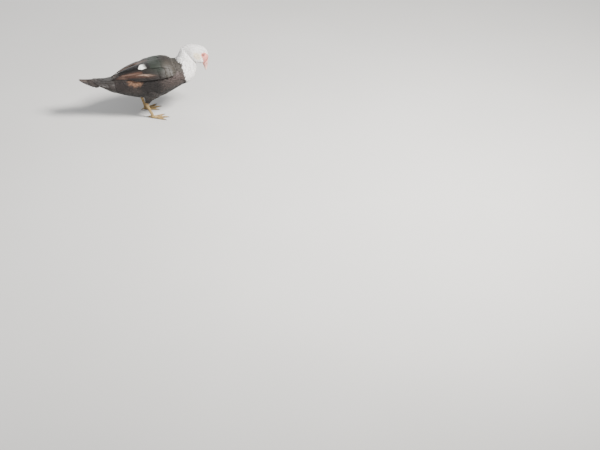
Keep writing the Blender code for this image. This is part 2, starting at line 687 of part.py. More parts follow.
def main():
    """Clears the scene and builds the duck."""
    for old in list(bpy.data.objects):
        bpy.data.objects.remove(old)
    parts = [body_piece("torso", TAIL_ROOT, BIB_EDGE, 2.2, "dark_plumage"),
             body_piece("neck", BIB_EDGE, CREASE, 1.8, "white_plumage"), make_tail()]
    parts += make_head() + make_bill()
    for side_name, side in SIDES.items():
        parts.append(make_wing(side_name, side))
        parts += make_leg(side_name, side) + make_foot(side_name, side)
    duck = bpy.data.objects.new("duck", None)
    duck.location.x = -MIDDLE_X
    bpy.context.scene.collection.objects.link(duck)
    for part in parts:
        smooth(part)
        part.parent = duck


main()
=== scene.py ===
"""The looks of a standing muscovy duck, life size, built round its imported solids.

The bird faces +X and its left side is +Y. Skin, coat, wings and tail all lie on one form: a run of
cross-sections from the end of the tail's flesh (station 0) to the root of the bill (station 23).
A place on it is a station and an angle from the back line, plus to the left and minus to the right.
"""
import logging
import math
from dataclasses import dataclass, field
from enum import Enum

import bmesh
import bpy
import numpy as np
from bpy.types import Material, Mesh, Node, NodeSocket, Object
from mathutils import Matrix, Vector


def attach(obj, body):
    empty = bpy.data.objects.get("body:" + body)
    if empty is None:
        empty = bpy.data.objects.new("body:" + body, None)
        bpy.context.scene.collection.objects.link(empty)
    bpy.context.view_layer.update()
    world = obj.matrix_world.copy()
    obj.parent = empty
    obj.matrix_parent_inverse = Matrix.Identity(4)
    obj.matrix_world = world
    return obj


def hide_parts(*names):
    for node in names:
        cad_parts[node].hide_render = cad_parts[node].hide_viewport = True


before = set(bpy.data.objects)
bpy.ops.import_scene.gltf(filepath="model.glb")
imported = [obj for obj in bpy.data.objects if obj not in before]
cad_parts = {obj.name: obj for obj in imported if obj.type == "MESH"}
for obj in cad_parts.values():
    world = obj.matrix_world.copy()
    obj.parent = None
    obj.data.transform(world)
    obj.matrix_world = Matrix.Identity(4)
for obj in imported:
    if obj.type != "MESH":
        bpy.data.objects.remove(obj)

Array = np.ndarray
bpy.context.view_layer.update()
LOG = logging.getLogger("duck")
BODY = "root"
MIDDLE_X = 0.05025                  # from the bird's own measure to the frame
SIDES = {"right": -1, "left": 1}
PATCH = 0.003                       # width of one feather's patch on the bake map
LONG_PATCH = PATCH * np.array([1.0, 3.2])

# Back line X and Z, belly line X and Z, half width, and how far the widest point sinks.
STATIONS = (
    (-0.290, 0.2000, -0.286, 0.1900, 0.0260, 0.00),  # 0 end of the tail's flesh
    (-0.258, 0.1955, -0.250, 0.1710, 0.0370, 0.00),  # 1 under the tail coverts
    (-0.222, 0.1950, -0.210, 0.1460, 0.0430, 0.02),  # 2 root of the tail
    (-0.188, 0.2090, -0.174, 0.1275, 0.0520, 0.04),  # 3 rump
    (-0.140, 0.2320, -0.122, 0.1110, 0.0690, 0.08),  # 4 vent
    (-0.088, 0.2512, -0.066, 0.0990, 0.0840, 0.10),  # 5 thigh
    (-0.035, 0.2650, -0.015, 0.0950, 0.0910, 0.10),  # 6 loin
    (0.015, 0.2715, 0.032, 0.1025, 0.0930, 0.08),  # 7 middle
    (0.053, 0.2690, 0.078, 0.1240, 0.0880, 0.06),  # 8 shoulder
    (0.080, 0.2645, 0.121, 0.1435, 0.0780, 0.04),  # 9 breast
    (0.098, 0.2650, 0.154, 0.1520, 0.0670, 0.02),  # 10 edge of the white bib
    (0.107, 0.2740, 0.177, 0.1680, 0.0550, 0.00),  # 11 base of the neck
    (0.113, 0.2870, 0.190, 0.1910, 0.0450, 0.00),  # 12
    (0.118, 0.3000, 0.194, 0.2130, 0.0380, 0.00),  # 13 middle of the neck
    (0.123, 0.3110, 0.194, 0.2310, 0.0330, 0.00),  # 14
    (0.132, 0.3230, 0.193, 0.2385, 0.0285, 0.00),  # 15 crease between neck and head
    (0.147, 0.3285, 0.195, 0.2385, 0.0310, 0.00),  # 16 nape
    (0.167, 0.3325, 0.198, 0.2375, 0.0325, 0.00),  # 17 back of the head
    (0.190, 0.3292, 0.202, 0.2365, 0.0325, 0.00),  # 18 cheek
    (0.213, 0.3215, 0.207, 0.2355, 0.0310, 0.00),  # 19 crown
    (0.235, 0.3095, 0.212, 0.2345, 0.0280, 0.00),  # 20 forehead
    (0.2475, 0.2920, 0.217, 0.2335, 0.0235, 0.00),  # 21 lores
    (0.2515, 0.2745, 0.221, 0.2325, 0.0190, 0.00),  # 22
    (0.2510, 0.2575, 0.2240, 0.2310, 0.0150, 0.00),  # 23 root of the bill
)
# The same six measures for the bill, from its root to its nail.
BILL_STATIONS = (
    (0.2505, 0.2565, 0.2242, 0.2305, 0.0130, 0.0),
    (0.2503, 0.2435, 0.2262, 0.2245, 0.0122, 0.0),
    (0.2493, 0.2315, 0.2285, 0.2185, 0.0120, 0.0),
    (0.2477, 0.2195, 0.2308, 0.2115, 0.0126, 0.0),
    (0.2457, 0.2085, 0.2330, 0.2050, 0.0130, 0.0),
    (0.2430, 0.2005, 0.2355, 0.2003, 0.0112, 0.0),
    (0.2407, 0.1963, 0.2382, 0.1973, 0.0055, 0.0),
)


def srgb(red: float, green: float, blue: float) -> Array:
    """Linear colour of three screen values from 0 to 255."""
    share = np.array([red, green, blue], float) / 255
    return np.where(share <= 0.04045, share / 12.92, ((share + 0.055) / 1.055) ** 2.4)


def ease(low: float, high: float, values: Array) -> Array:
    """A soft step from 0 at low to 1 at high."""
    share = np.clip((np.asarray(values, float) - low) / (high - low), 0, 1)
    return share * share * (3 - 2 * share)


def ripple(points: Array, wave: float, seed: int) -> Array:
    """Smooth, repeatable noise from about -1 to 1.

    Args:
        points: places, one a row.
        wave: its wavelength in metres.
        seed: of its directions.

    Returns:
        One value for each place.
    """
    draw = np.random.default_rng(seed)
    total = np.zeros(len(points))
    for _ in range(6):
        way = draw.normal(size=3)
        way *= math.tau / wave / np.linalg.norm(way) * draw.uniform(0.7, 1.4)
        total += np.sin(points @ way + draw.uniform(0, math.tau))
    return total / 2.6


def lay(made: Array, colour: tuple, share: Array) -> Array:
    """Colours with another one laid over them by a share from 0 to 1."""
    return made + (srgb(*colour) - made) * np.asarray(share)[..., None]


def hump(values: Array, middle: float, spread: float) -> Array:
    """A soft bump, 1 at the middle and almost nothing at twice the spread."""
    return np.exp(-((values - middle) / spread) ** 2)


def unit(vectors: Array) -> Array:
    """The vectors at a length of 1."""
    return vectors / np.linalg.norm(vectors, axis=-1, keepdims=True)


def between(first: Array, last: Array, share: Array) -> Array:
    """The place at a share of the way from the first to the last."""
    return np.asarray(first, float) + (np.asarray(last, float) - first) * share


def tube_faces(steps: int, columns: int) -> list:
    """Side faces of a tube with that many steps along it and columns round it."""
    return [(row + k, row + (k + 1) % columns, row + columns + (k + 1) % columns, row + columns + k)
            for row in range(0, steps * columns, columns) for k in range(columns)]


def shell_faces(rings: int, columns: int) -> list:
    """Faces of a closed shell: its rings, then one point past the last and one before the first."""
    last, count = (rings - 1) * columns, rings * columns
    faces = tube_faces(rings - 1, columns)
    faces += [(last + k, last + (k + 1) % columns, count) for k in range(columns)]
    return faces + [((k + 1) % columns, k, count + 1) for k in range(columns)]


def vane_faces(steps: int, columns: int) -> list:
    """Faces of a closed feather: its top between its columns, a flat underside and two ends.

    Args:
        steps: along the feather.
        columns: points across it.

    Returns:
        Rows of point numbers.
    """
    made = []
    for row in range(0, steps * columns, columns):
        made += [(row + k, row + k + 1, row + k + 1 + columns, row + k + columns)
                 for k in range(columns - 1)]
        made.append((row + columns - 1, row, row + columns, row + 2 * columns - 1))
    made.append(tuple(range(columns))[::-1])
    made.append(tuple(range(steps * columns, (steps + 1) * columns)))
    return made


@dataclass(frozen=True)
class Form:
    """A closed surface through cross-sections, as the solids have it."""

    stations: tuple

    def values(self, station: Array) -> Array:
        """The six measures of the cross-section at each station."""
        rows = np.array(self.stations, float)
        last = len(rows) - 1
        low = np.clip(np.floor(station).astype(int), 0, last - 1)
        share = (station - low)[..., None]
        a, b, c, d = (rows[np.clip(low + k, 0, last)] for k in (-1, 0, 1, 2))
        return 0.5 * (2 * b + (c - a) * share + (2 * a - 5 * b + 4 * c - d) * share ** 2
                      + (3 * b - a - 3 * c + d) * share ** 3)

    def point(self, station: Array, degrees: Array, lift: Array = 0.0) -> Array:
        """Places on the form.

        Args:
            station: along the form.
            degrees: from the back line, plus to the left.
            lift: height over the surface.

        Returns:
            One place a row, in the frame.
        """
        station, degrees, lift = (row.astype(float) for row in np.broadcast_arrays(station, degrees, lift))
        back_x, back_z, belly_x, belly_z, width, sink = np.moveaxis(self.values(station), -1, 0)
        turn = np.radians(degrees)
        over_x, over_z = back_x - belly_x, back_z - belly_z
        length = np.hypot(over_x, over_z)
        rise = (length / 2 + lift) * np.cos(turn)
        return np.stack([(back_x + belly_x) / 2 + MIDDLE_X + over_x / length * rise,
                         (width + lift) * np.sin(turn) * (1 - sink * np.cos(turn)),
                         (back_z + belly_z) / 2 + over_z / length * rise], -1)

    def axes(self, station: Array, degrees: Array) -> tuple:
        """Outward normal and the lie towards the tail, one of each a row."""
        along = self.point(station + 0.03, degrees) - self.point(station - 0.03, degrees)
        around = self.point(station, degrees + 1.0) - self.point(station, degrees - 1.0)
        return unit(np.cross(along, around)), -unit(along)

    def reach(self, station: Array, degrees: Array) -> tuple:
        """Metres of surface to one station, and to one degree."""
        along = self.point(station + 0.05, degrees) - self.point(station - 0.05, degrees)
        around = self.point(station, degrees + 0.5) - self.point(station, degrees - 0.5)
        return np.linalg.norm(along, axis=-1) / 0.1, np.linalg.norm(around, axis=-1)

    def bake_place(self, station: Array, degrees: Array) -> Array:
        """Place on the unwrapped skin, from 0 to 1 each way."""
        station, degrees = np.broadcast_arrays(station, degrees)
        return np.stack([0.02 + 0.83 * np.clip(station, 0, 23) / 23, 0.5 + 0.97 * degrees / 360], -1)


DUCK = Form(STATIONS)


@dataclass(frozen=True)
class Marking:
    """A soft-edged patch of colour on the plumage, the same on both sides."""

    station: float
    degrees: float
    half_length: float
    half_width: float
    lean: float
    colour: tuple
    strength: float = 1.0

    def weight(self, station: Array, degrees: Array) -> Array:
        """How strongly the patch shows at each place, from 0 to 1."""
        along = (station - self.station) / self.half_length
        across = (np.abs(degrees) - self.degrees - self.lean * (station - self.station)) / self.half_width
        return self.strength * (1 - ease(0.62, 1.18, np.hypot(along, across)))

    def on(self, made: Array, station: Array, degrees: Array) -> Array:
        """The colours of those places with this patch laid over them."""
        return lay(made, self.colour, self.weight(station, degrees))


@dataclass(frozen=True)
class Plumage:
    """Colours of the plumage by place, shared by skin, coat, wings and tail, with some painted light and
    shade worked in.
    """

    white: tuple = (253, 250, 247)
    back: tuple = (62, 58, 52)
    flank: tuple = (54, 46, 43)
    # Dark plumage, darkened further by painted shade on the underside.
    belly: tuple = (28, 24, 23)
    # Dark plumage, darkened further by painted shade round the vent and under the tail.
    rear: tuple = (36, 31, 29)
    markings: tuple = (
        Marking(8.8, 50, 1.9, 34, 0, (62, 57, 51)),
        # Partly painted light: the side of the breast is lighter as if sunlit, over its own brownish grey.
        Marking(8.9, 86, 1.3, 28, 0, (70, 59, 56)),
        Marking(8.6, 108, 1.2, 18, 0, (58, 49, 46)),
        Marking(6.5, 34, 1.0, 20, 0, (40, 43, 37)),
        # Painted shade: the flank below the folded wing is darkened as if in the wing's shadow.
        Marking(5.9, 92, 1.15, 36, 6, (24, 19, 18)),
        # Partly painted shade: the rear flank by the vent is darker as if in shade, over its dark plumage.
        Marking(3.4, 74, 1.2, 34, 0, (40, 33, 31)),
        # Partly painted light: brown flank feathers with pale tips, made lighter and warmer as if catching
        # sunlight.
        Marking(4.60, 68, 0.62, 15, 8, (122, 91, 70), 0.9),
        # Partly painted light: the top edge along the back is lighter as if sunlit, over faded brown
        # feathers.
        Marking(3.9, 2, 1.0, 7, 0, (96, 78, 68), 0.8),
    )
    cheek: Marking = Marking(18.0, 92, 1.5, 26, 0, (246, 232, 204), 0.9)
    border: tuple = ((0, 10.1), (45, 11.1), (65, 10.55), (92, 10.05), (135, 9.8), (180, 9.75))

    def colour(self, station: Array, degrees: Array) -> Array:
        """Linear colour of each place.

        Args:
            station: along the form.
            degrees: from the back line.

        Returns:
            One colour a row.
        """
        station, degrees = np.broadcast_arrays(np.asarray(station, float), np.asarray(degrees, float))
        turn = np.abs(degrees)
        made = srgb(*self.back) * np.ones(station.shape + (1,))
        # The belly's and the rear end's colours carry painted shade as well as the dark plumage.
        for colour, weight in ((self.flank, ease(25, 70, turn)), (self.belly, ease(92, 132, turn)),
                               (self.rear, 1 - ease(1.5, 4.6, station))):
            made = lay(made, colour, weight)
        for mark in self.markings:
            made = mark.on(made, station, degrees)
        edge = np.interp(turn, *zip(*self.border))
        edge += 0.12 * ripple(DUCK.point(station, degrees).reshape(-1, 3), 0.021, 5).reshape(edge.shape)
        made = lay(made, self.white, ease(-0.03, 0.03, station - edge))
        return self.cheek.on(made, station, degrees)


PLUMAGE = Plumage()


@dataclass
class NodeHand:
    """A small hand for building a tree of nodes."""

    tree: bpy.types.NodeTree

    def add(self, kind: str, feeds: dict | None = None, **settings: object) -> Node:
        """Adds a node.

        Args:
            kind: its type.
            feeds: what goes into its inputs, by their names or numbers.
            settings: its properties.

        Returns:
            The node.
        """
        node = self.tree.nodes.new(kind)
        for key, value in settings.items():
            setattr(node, key, value)
        for key, value in (feeds or {}).items():
            self.feed(node.inputs[key], value)
        return node

    def feed(self, socket: NodeSocket, value: object) -> None:
        """Links an output, or a node's first one, to a socket, or sets the socket's own value."""
        if isinstance(value, Node):
            value = value.outputs[0]
        if isinstance(value, NodeSocket):
            self.tree.links.new(value, socket)
        else:
            socket.default_value = value

    def math(self, operation: str, first: object, second: object = 0.0) -> NodeSocket:
        """One Math node's output."""
        return self.add("ShaderNodeMath", {0: first, 1: second}, operation=operation).outputs[0]

    def times(self, first: object, second: object) -> NodeSocket:
        """One value times another."""
        return self.math("MULTIPLY", first, second)

    def plus(self, first: object, second: object) -> NodeSocket:
        """The sum of two values."""
        return self.math("ADD", first, second)


class Shader(NodeHand):
    """The nodes of one material."""

    def __init__(self, name: str) -> None:
        """Starts a material with a Principled BSDF."""
        self.material = bpy.data.materials.new(name)
        self.material.use_nodes = True
        super().__init__(self.material.node_tree)

    def mix(self, share: object, first: object, second: object, blend: str = "MIX") -> NodeSocket:
        """One colour mixed or blended with another."""
        return self.add("ShaderNodeMix", {"Factor": share, 6: first, 7: second}, data_type="RGBA",
                        blend_type=blend).outputs[2]

    def ramp(self, value: object, low: float, high: float, first: float = 0.0,
             last: float = 1.0) -> NodeSocket:
        """A soft step from one value to another.

        Args:
            value: what it follows.
            low: where the step starts.
            high: where it ends.
            first: result at its start.
            last: result at its end.

        Returns:
            The result.
        """
        return self.add("ShaderNodeMapRange", {"Value": value, "From Min": low, "From Max": high,
                                               "To Min": first, "To Max": last},
                        interpolation_type="SMOOTHSTEP").outputs["Result"]

    def noise(self, scale: float, detail: float = 3.0) -> NodeSocket:
        """Noise on Object coordinates, its scale a metre."""
        place = self.add("ShaderNodeTexCoord").outputs["Object"]
        return self.add("ShaderNodeTexNoise", {"Vector": place, "Scale": scale,
                                               "Detail": detail}).outputs["Fac"]

    def cells(self, scale: float) -> NodeSocket:
        """Distance of Voronoi cells on Object coordinates, its scale a metre."""
        place = self.add("ShaderNodeTexCoord").outputs["Object"]
        return self.add("ShaderNodeTexVoronoi", {"Vector": place, "Scale": scale}).outputs["Distance"]

    def attribute(self, name: str, output: str = "Color") -> NodeSocket:
        """A mesh attribute."""
        return self.add("ShaderNodeAttribute", attribute_name=name).outputs[output]

    def bump(self, height: object, depth: float, strength: float) -> NodeSocket:
        """A bump normal of that depth in metres."""
        return self.add("ShaderNodeBump", {"Strength": strength, "Distance": depth,
                                           "Height": height}).outputs["Normal"]

    def grey(self, value: object) -> NodeSocket:
        """A colour of three equal values."""
        return self.add("ShaderNodeCombineColor", {0: value, 1: value, 2: value}).outputs[0]

    def done(self, **sockets: object) -> Material:
        """Feeds the Principled BSDF's sockets, named with underscores, and gives the material."""
        for key, value in sockets.items():
            self.feed(self.tree.nodes["Principled BSDF"].inputs[key.replace("_", " ")], value)
        return self.material


@dataclass(frozen=True)
class FeatherFinish:
    """Vanes with barbs, a shaft and a fringe, on the colour that the mesh carries."""

    name: str
    roughness: float = 0.55
    barbs: float = 46.0             # barbs seen along one vane
    fringe: float = 0.16            # how much paler the edge is
    shaft: float = 0.20             # how much paler the shaft is
    mottle: float = 0.22
    sheen: float = 0.05
    gloss: float = 0.05
    gloss_tint: tuple = (1.0, 1.0, 1.0, 1.0)

    def make(self) -> Material:
        """Builds the material."""
        shader = Shader(self.name)
        tint = shader.attribute("tint")
        shade = shader.attribute("shade", "Fac")
        vane = shader.add("ShaderNodeSeparateXYZ", {0: shader.add("ShaderNodeUVMap", uv_map="Vane")}).outputs
        across = shader.math("ABSOLUTE", shader.math("SUBTRACT", vane["X"], 0.5))
        along = vane["Y"]
        slant = shader.times(shader.math("SUBTRACT", along, shader.times(across, 0.7)), self.barbs)
        wobble = shader.times(shader.noise(900.0, 2.0), 1.6)
        lines = shader.math("SINE", shader.times(shader.plus(slant, wobble), 6.2832))
        ridge = shader.ramp(across, 0.05, 0.012)
        edge = shader.math("MAXIMUM", shader.ramp(across, 0.40, 0.50), shader.ramp(along, 0.90, 0.99))
        patches = shader.ramp(shader.noise(170.0, 4.0), 0.25, 0.75, 1 - self.mottle, 1 + self.mottle)
        level = shader.times(patches, shader.plus(shader.times(lines, 0.055), 1.0))
        level = shader.times(level, shader.plus(shade, 0.5))
        level = shader.plus(level, shader.times(ridge, self.shaft))
        level = shader.plus(level, shader.times(edge, self.fringe))
        level = shader.times(level, shader.ramp(along, 0.0, 0.45, 0.78, 1.0))
        colour = shader.mix(1.0, tint, shader.grey(level), "MULTIPLY")
        height = shader.plus(shader.times(lines, 0.5), shader.times(ridge, 2.0))
        return shader.done(Base_Color=colour, Roughness=self.roughness, Sheen_Weight=self.sheen,
                           Sheen_Roughness=0.45, Specular_IOR_Level=0.35, Coat_Weight=self.gloss,
                           Coat_Roughness=0.35, Coat_Tint=self.gloss_tint,
                           Normal=shader.bump(height, 0.00012, 0.6))


@dataclass(frozen=True)
class SkinFinish:
    """Down over the body and bare, pink, warty skin on the face, by the colour the mesh carries."""

    name: str = "skin"

    def make(self) -> Material:
        """Builds the material."""
        shader = Shader(self.name)
        bare = shader.attribute("bare", "Fac")
        blood = shader.ramp(shader.noise(260.0, 4.0), 0.35, 0.72)
        flush = shader.mix(shader.times(blood, shader.times(bare, 0.34)),
                           shader.attribute("tint"), (0.56, 0.115, 0.095, 1.0))
        patches = shader.ramp(shader.noise(120.0, 3.0), 0.2, 0.8, 0.86, 1.1)
        colour = shader.mix(1.0, flush, shader.grey(patches), "MULTIPLY")
        grain = shader.plus(shader.times(shader.cells(1900.0), 1.4),
                            shader.times(shader.noise(2600.0, 2.0), 0.6))
        rough = shader.ramp(bare, 0.0, 1.0, 0.85, 0.46)
        return shader.done(Base_Color=colour, Roughness=rough, Subsurface_Weight=0.08,
                           Subsurface_Radius=(0.004, 0.0015, 0.001), Sheen_Weight=0.1,
                           Normal=shader.bump(grain, 0.00022, 0.7))


@dataclass
class Draft:
    """Points, faces and attributes of a mesh in the making."""

    points: list = field(default_factory=list)
    faces: list = field(default_factory=list)
    vane: list = field(default_factory=list)
    bake: list = field(default_factory=list)
    tint: list = field(default_factory=list)
    shade: list = field(default_factory=list)
    count: int = 0

    def add(self, points: Array, faces: Array, vane: Array, bake: Array, tint: Array, shade: float) -> None:
        """Adds one shape.

        Args:
            points: its places, one a row.
            faces: its corners, as rows of point numbers or a list of them.
            vane: across and along, one a point.
            bake: place on the bake map, one a point.
            tint: linear colour, one a point.
            shade: its own lightness from 0 to 1.
        """
        self.faces += [tuple(int(k) + self.count for k in face) for face in faces]
        self.points.append(points)
        self.vane.append(vane)
        self.bake.append(bake)
        self.tint.append(tint)
        self.shade.append(np.full(len(points), shade))
        self.count += len(points)

    def build(self, name: str, material: Material) -> Object:
        """The finished mesh object.

        Args:
            name: of the piece.
            material: its finish.

        Returns:
            The object.
        """
        mesh = new_mesh(name, np.concatenate(self.points), self.faces)
        dress(mesh, {"tint": np.concatenate(self.tint), "shade": np.concatenate(self.shade)},
              {"Vane": np.concatenate(self.vane), "OFBake": np.concatenate(self.bake)})
        mesh.materials.append(material)
        mesh.shade_smooth()
        return place_object(name, mesh)


def new_mesh(name: str, points: Array, faces: list) -> Mesh:
    """A mesh of those points and faces."""
    mesh = bpy.data.meshes.new(name)
    mesh.from_pydata(np.asarray(points).tolist(), [], faces)
    return mesh


def net_mesh(name: str, net: bmesh.types.BMesh) -> Mesh:
    """A mesh of a net that is then let go."""
    mesh = bpy.data.meshes.new(name)
    net.to_mesh(mesh)
    net.free()
    return mesh


def place_object(name: str, mesh: Mesh) -> Object:
    """An object of that mesh in the scene."""
    made = bpy.data.objects.new(name, mesh)
    bpy.context.scene.collection.objects.link(made)
    return made


def evaluated(piece: Object) -> Mesh:
    """A plain mesh of an object with its modifiers worked in."""
    graph = bpy.context.evaluated_depsgraph_get()
    return bpy.data.meshes.new_from_object(piece.evaluated_get(graph))


def read(data: object, key: str, width: int = 1, kind: type = np.float32) -> Array:
    """Values of a mesh's points, corners or attribute, as rows where each has more than one.

    Args:
        data: that holds them.
        key: the name of the value.
        width: how many numbers each has.
        kind: of number.

    Returns:
        The values.
    """
    values = np.empty(len(data) * width, kind)
    data.foreach_get(key, values)
    return values.reshape(-1, width) if width > 1 else values


def one_finish(mesh: Mesh, material: Material) -> None:
    """Leaves a mesh with that finish alone, also where a modifier left an empty slot."""
    mesh.materials.clear()
    mesh.materials.append(material)
    mesh.polygons.foreach_set("material_index", np.zeros(len(mesh.polygons), np.int32))


def dress(mesh: Mesh, attributes: dict, maps: dict | None = None) -> None:
    """Stores values on a mesh.

    Args:
        mesh: that takes them.
        attributes: named values, one or three a point; three are a colour where the name is tint.
        maps: named UV maps, two values a point.
    """
    corners = read(mesh.loops, "vertex_index", 1, np.int32)
    for name, values in attributes.items():
        values = np.asarray(values, np.float32)
        kind, key = ("FLOAT", "value") if values.ndim == 1 else ("FLOAT_VECTOR", "vector")
        if name == "tint":
            kind, key = "FLOAT_COLOR", "color"
            values = np.concatenate([values, np.ones((len(values), 1), np.float32)], 1)
        mesh.attributes.new(name, kind, "POINT").data.foreach_set(key, values.ravel())
    for name, values in (maps or {}).items():
        layer = mesh.uv_layers.new(name=name)
        layer.data.foreach_set("uv", np.asarray(values, np.float32)[corners].ravel())


def settle(piece: Object, slot: str, *nodes: str) -> Object:
    """Rides a finished piece on the body and hides the solids of the nodes that it stands for.

    Args:
        piece: with a plain mesh.
        slot: the record's slot; not used.
        nodes: that it stands for.

    Returns:
        The piece.
    """
    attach(piece, BODY)
    if nodes:
        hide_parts(*nodes)
    LOG.info("%s: %d points", piece.name, len(piece.data.vertices))
    return piece


def turn_out(mesh: Mesh) -> None:
    """Turns a closed mesh's faces outwards."""
    made = bmesh.new()
    made.from_mesh(mesh)
    bmesh.ops.recalc_face_normals(made, faces=made.faces)
    if made.calc_volume(signed=True) < 0:
        bmesh.ops.reverse_faces(made, faces=made.faces)
    made.to_mesh(mesh)
    made.free()


def finish_piece(mesh: Mesh, tint: Array, material: Material, slot: str, *nodes: str) -> Object:
    """Colours, turns out, smooths and places a closed mesh.

    Args:
        mesh: with the piece's name.
        tint: linear colour, one a point.
        material: its finish.
        slot: the record's slot.
        nodes: that it stands for.

    Returns:
        The piece, riding on the body.
    """
    dress(mesh, {"tint": tint})
    turn_out(mesh)
    one_finish(mesh, material)
    mesh.shade_smooth()
    return settle(place_object(mesh.name, mesh), slot, *nodes)


class Kind(Enum):
    """Small feathers by where they grow: length, width, height of the tip, camber and rings."""

    HEAD = (0.0066, 0.0026, 0.00105, 0.00020, 4)
    NECK = (0.0125, 0.0054, 0.0019, 0.00040, 5)
    BODY = (0.0250, 0.0132, 0.0030, 0.00090, 7)
    DOWN = (0.0210, 0.0100, 0.0030, 0.00080, 6)


@dataclass
class Feather:
    """The small closed vane that the coat repeats; along is +Y from its root."""

    kind: Kind

    def build(self) -> Object:
        """The vane as a hidden object that carries each point's height as rise."""
        length, width, lift, camber, rings = self.kind.value
        columns = (-1, -0.5, 0, 0.5, 1) if rings > 4 else (-1, 0, 1)
        points, rise, vane = [], [], []
        for along in (ring / rings for ring in range(rings + 1)):
            wide = width / 2 * (0.42 + 0.58 * math.sin(math.pi * min(along * 0.85 + 0.12, 0.5))) \
                * math.sqrt(max(1 - (max(along - 0.62, 0) / 0.40) ** 2, 0.02))
            for column in columns:
                bow = 1 - 0.10 * column ** 2 * (along > 0.7)
                points.append((column * wide, length * along * bow, 0.0))
                rise.append(lift * along ** 0.85 + camber * (1 - column ** 2) + 0.05 * lift * column)
                vane.append((0.5 + column / 2, along))
        mesh = new_mesh("feather_" + self.kind.name.lower(), points, vane_faces(rings, len(columns)))
        dress(mesh, {"rise": np.array(rise)}, {"Vane": np.array(vane)})
        mesh.shade_smooth()
        made = place_object(mesh.name, mesh)
        made.hide_render = made.hide_viewport = True
        return made


class CoatTree(NodeHand):
    """Geometry Nodes that clothe a sheet in feathers: scatter, point along the lie, wrap, realize."""

    INPUTS = (("Feather", "Object"), ("Spacing", "Float"), ("Density", "Float"), ("Spread", "Float"),
              ("Seed", "Int"), ("Material", "Material"))

    def __init__(self) -> None:
        """Builds the tree."""
        super().__init__(bpy.data.node_groups.new("feather coat", "GeometryNodeTree"))
        face = self.tree.interface
        face.new_socket("Sheet", in_out="INPUT", socket_type="NodeSocketGeometry")
        self.sockets = {}
        for name, kind in self.INPUTS:
            made = face.new_socket(name, in_out="INPUT", socket_type="NodeSocket" + kind)
            self.sockets[name] = made.identifier
        face.new_socket("Coat", in_out="OUTPUT", socket_type="NodeSocketGeometry")
        self.wire()

    def named(self, name: str, kind: str = "FLOAT") -> NodeSocket:
        """A named attribute of the geometry."""
        return self.add("GeometryNodeInputNamedAttribute", {"Name": name},
                        data_type=kind).outputs["Attribute"]

    def random(self, low: float, high: float, salt: int, seed: NodeSocket) -> NodeSocket:
        """A random number for each feather."""
        return self.add("FunctionNodeRandomValue", {2: low, 3: high, "Seed": self.plus(seed, salt)},
                        data_type="FLOAT").outputs[1]

    def wire(self) -> None:
        """Places and links the nodes."""
        source = self.add("NodeGroupInput").outputs
        seed = source["Seed"]
        scatter = self.add("GeometryNodeDistributePointsOnFaces", {
            "Mesh": source["Sheet"], "Distance Min": source["Spacing"], "Density Max": source["Density"],
            "Density Factor": self.named("cover"), "Seed": seed}, distribute_method="POISSON")
        shaded = self.add("GeometryNodeStoreNamedAttribute", {
            "Geometry": scatter, "Name": "shade", "Value": self.random(0.32, 0.68, 1, seed)},
            data_type="FLOAT", domain="POINT")
        turn = self.add("FunctionNodeAxesToRotation", {
            "Primary Axis": self.named("out", "FLOAT_VECTOR"),
            "Secondary Axis": self.named("lie", "FLOAT_VECTOR")}, primary_axis="Z", secondary_axis="Y")
        swing = self.times(self.random(-1, 1, 2, seed), source["Spread"])
        sway = self.add("FunctionNodeAxisAngleToRotation", {"Axis": (0, 0, 1), "Angle": swing})
        swayed = self.add("FunctionNodeRotateRotation", {"Rotation": turn, "Rotate By": sway},
                          rotation_space="LOCAL")
        vane = self.add("GeometryNodeObjectInfo", {"Object": source["Feather"]})
        planted = self.add("GeometryNodeInstanceOnPoints", {
            "Points": shaded, "Instance": vane.outputs["Geometry"], "Rotation": swayed,
            "Scale": self.times(self.named("size"), self.random(0.88, 1.14, 3, seed))})
        real = self.add("GeometryNodeRealizeInstances", {"Geometry": planted})
        wrapped = self.add("GeometryNodeSetPosition", {
            "Geometry": real, "Position": self.wrap(source["Sheet"])})
        painted = self.add("GeometryNodeSetMaterial", {"Geometry": wrapped, "Material": source["Material"]})
        self.add("NodeGroupOutput", {"Coat": painted})

    def wrap(self, sheet: NodeSocket) -> Node:
        """Each point's foot on the sheet, raised by the feather's own height there."""
        foot, out = (self.add("GeometryNodeSampleNearestSurface", {"Mesh": sheet, "Value": value},
                              data_type="FLOAT_VECTOR").outputs["Value"]
                     for value in (self.add("GeometryNodeInputPosition"), self.named("out", "FLOAT_VECTOR")))
        high = self.times(self.named("rise"), self.named("size"))
        up = self.add("ShaderNodeVectorMath", {0: out}, operation="NORMALIZE")
        raised = self.add("ShaderNodeVectorMath", {0: up, "Scale": high}, operation="SCALE")
        return self.add("ShaderNodeVectorMath", {0: foot, 1: raised}, operation="ADD")


def coat_depth(station: Array) -> Array:
    """How far the feathers' roots lie under the form."""
    deep = 0.0031 - 0.0013 * ease(9.6, 12.0, station) - 0.0006 * ease(14.6, 16.2, station)
    return deep * (1 - 0.6 * ease(22.2, 23, station))


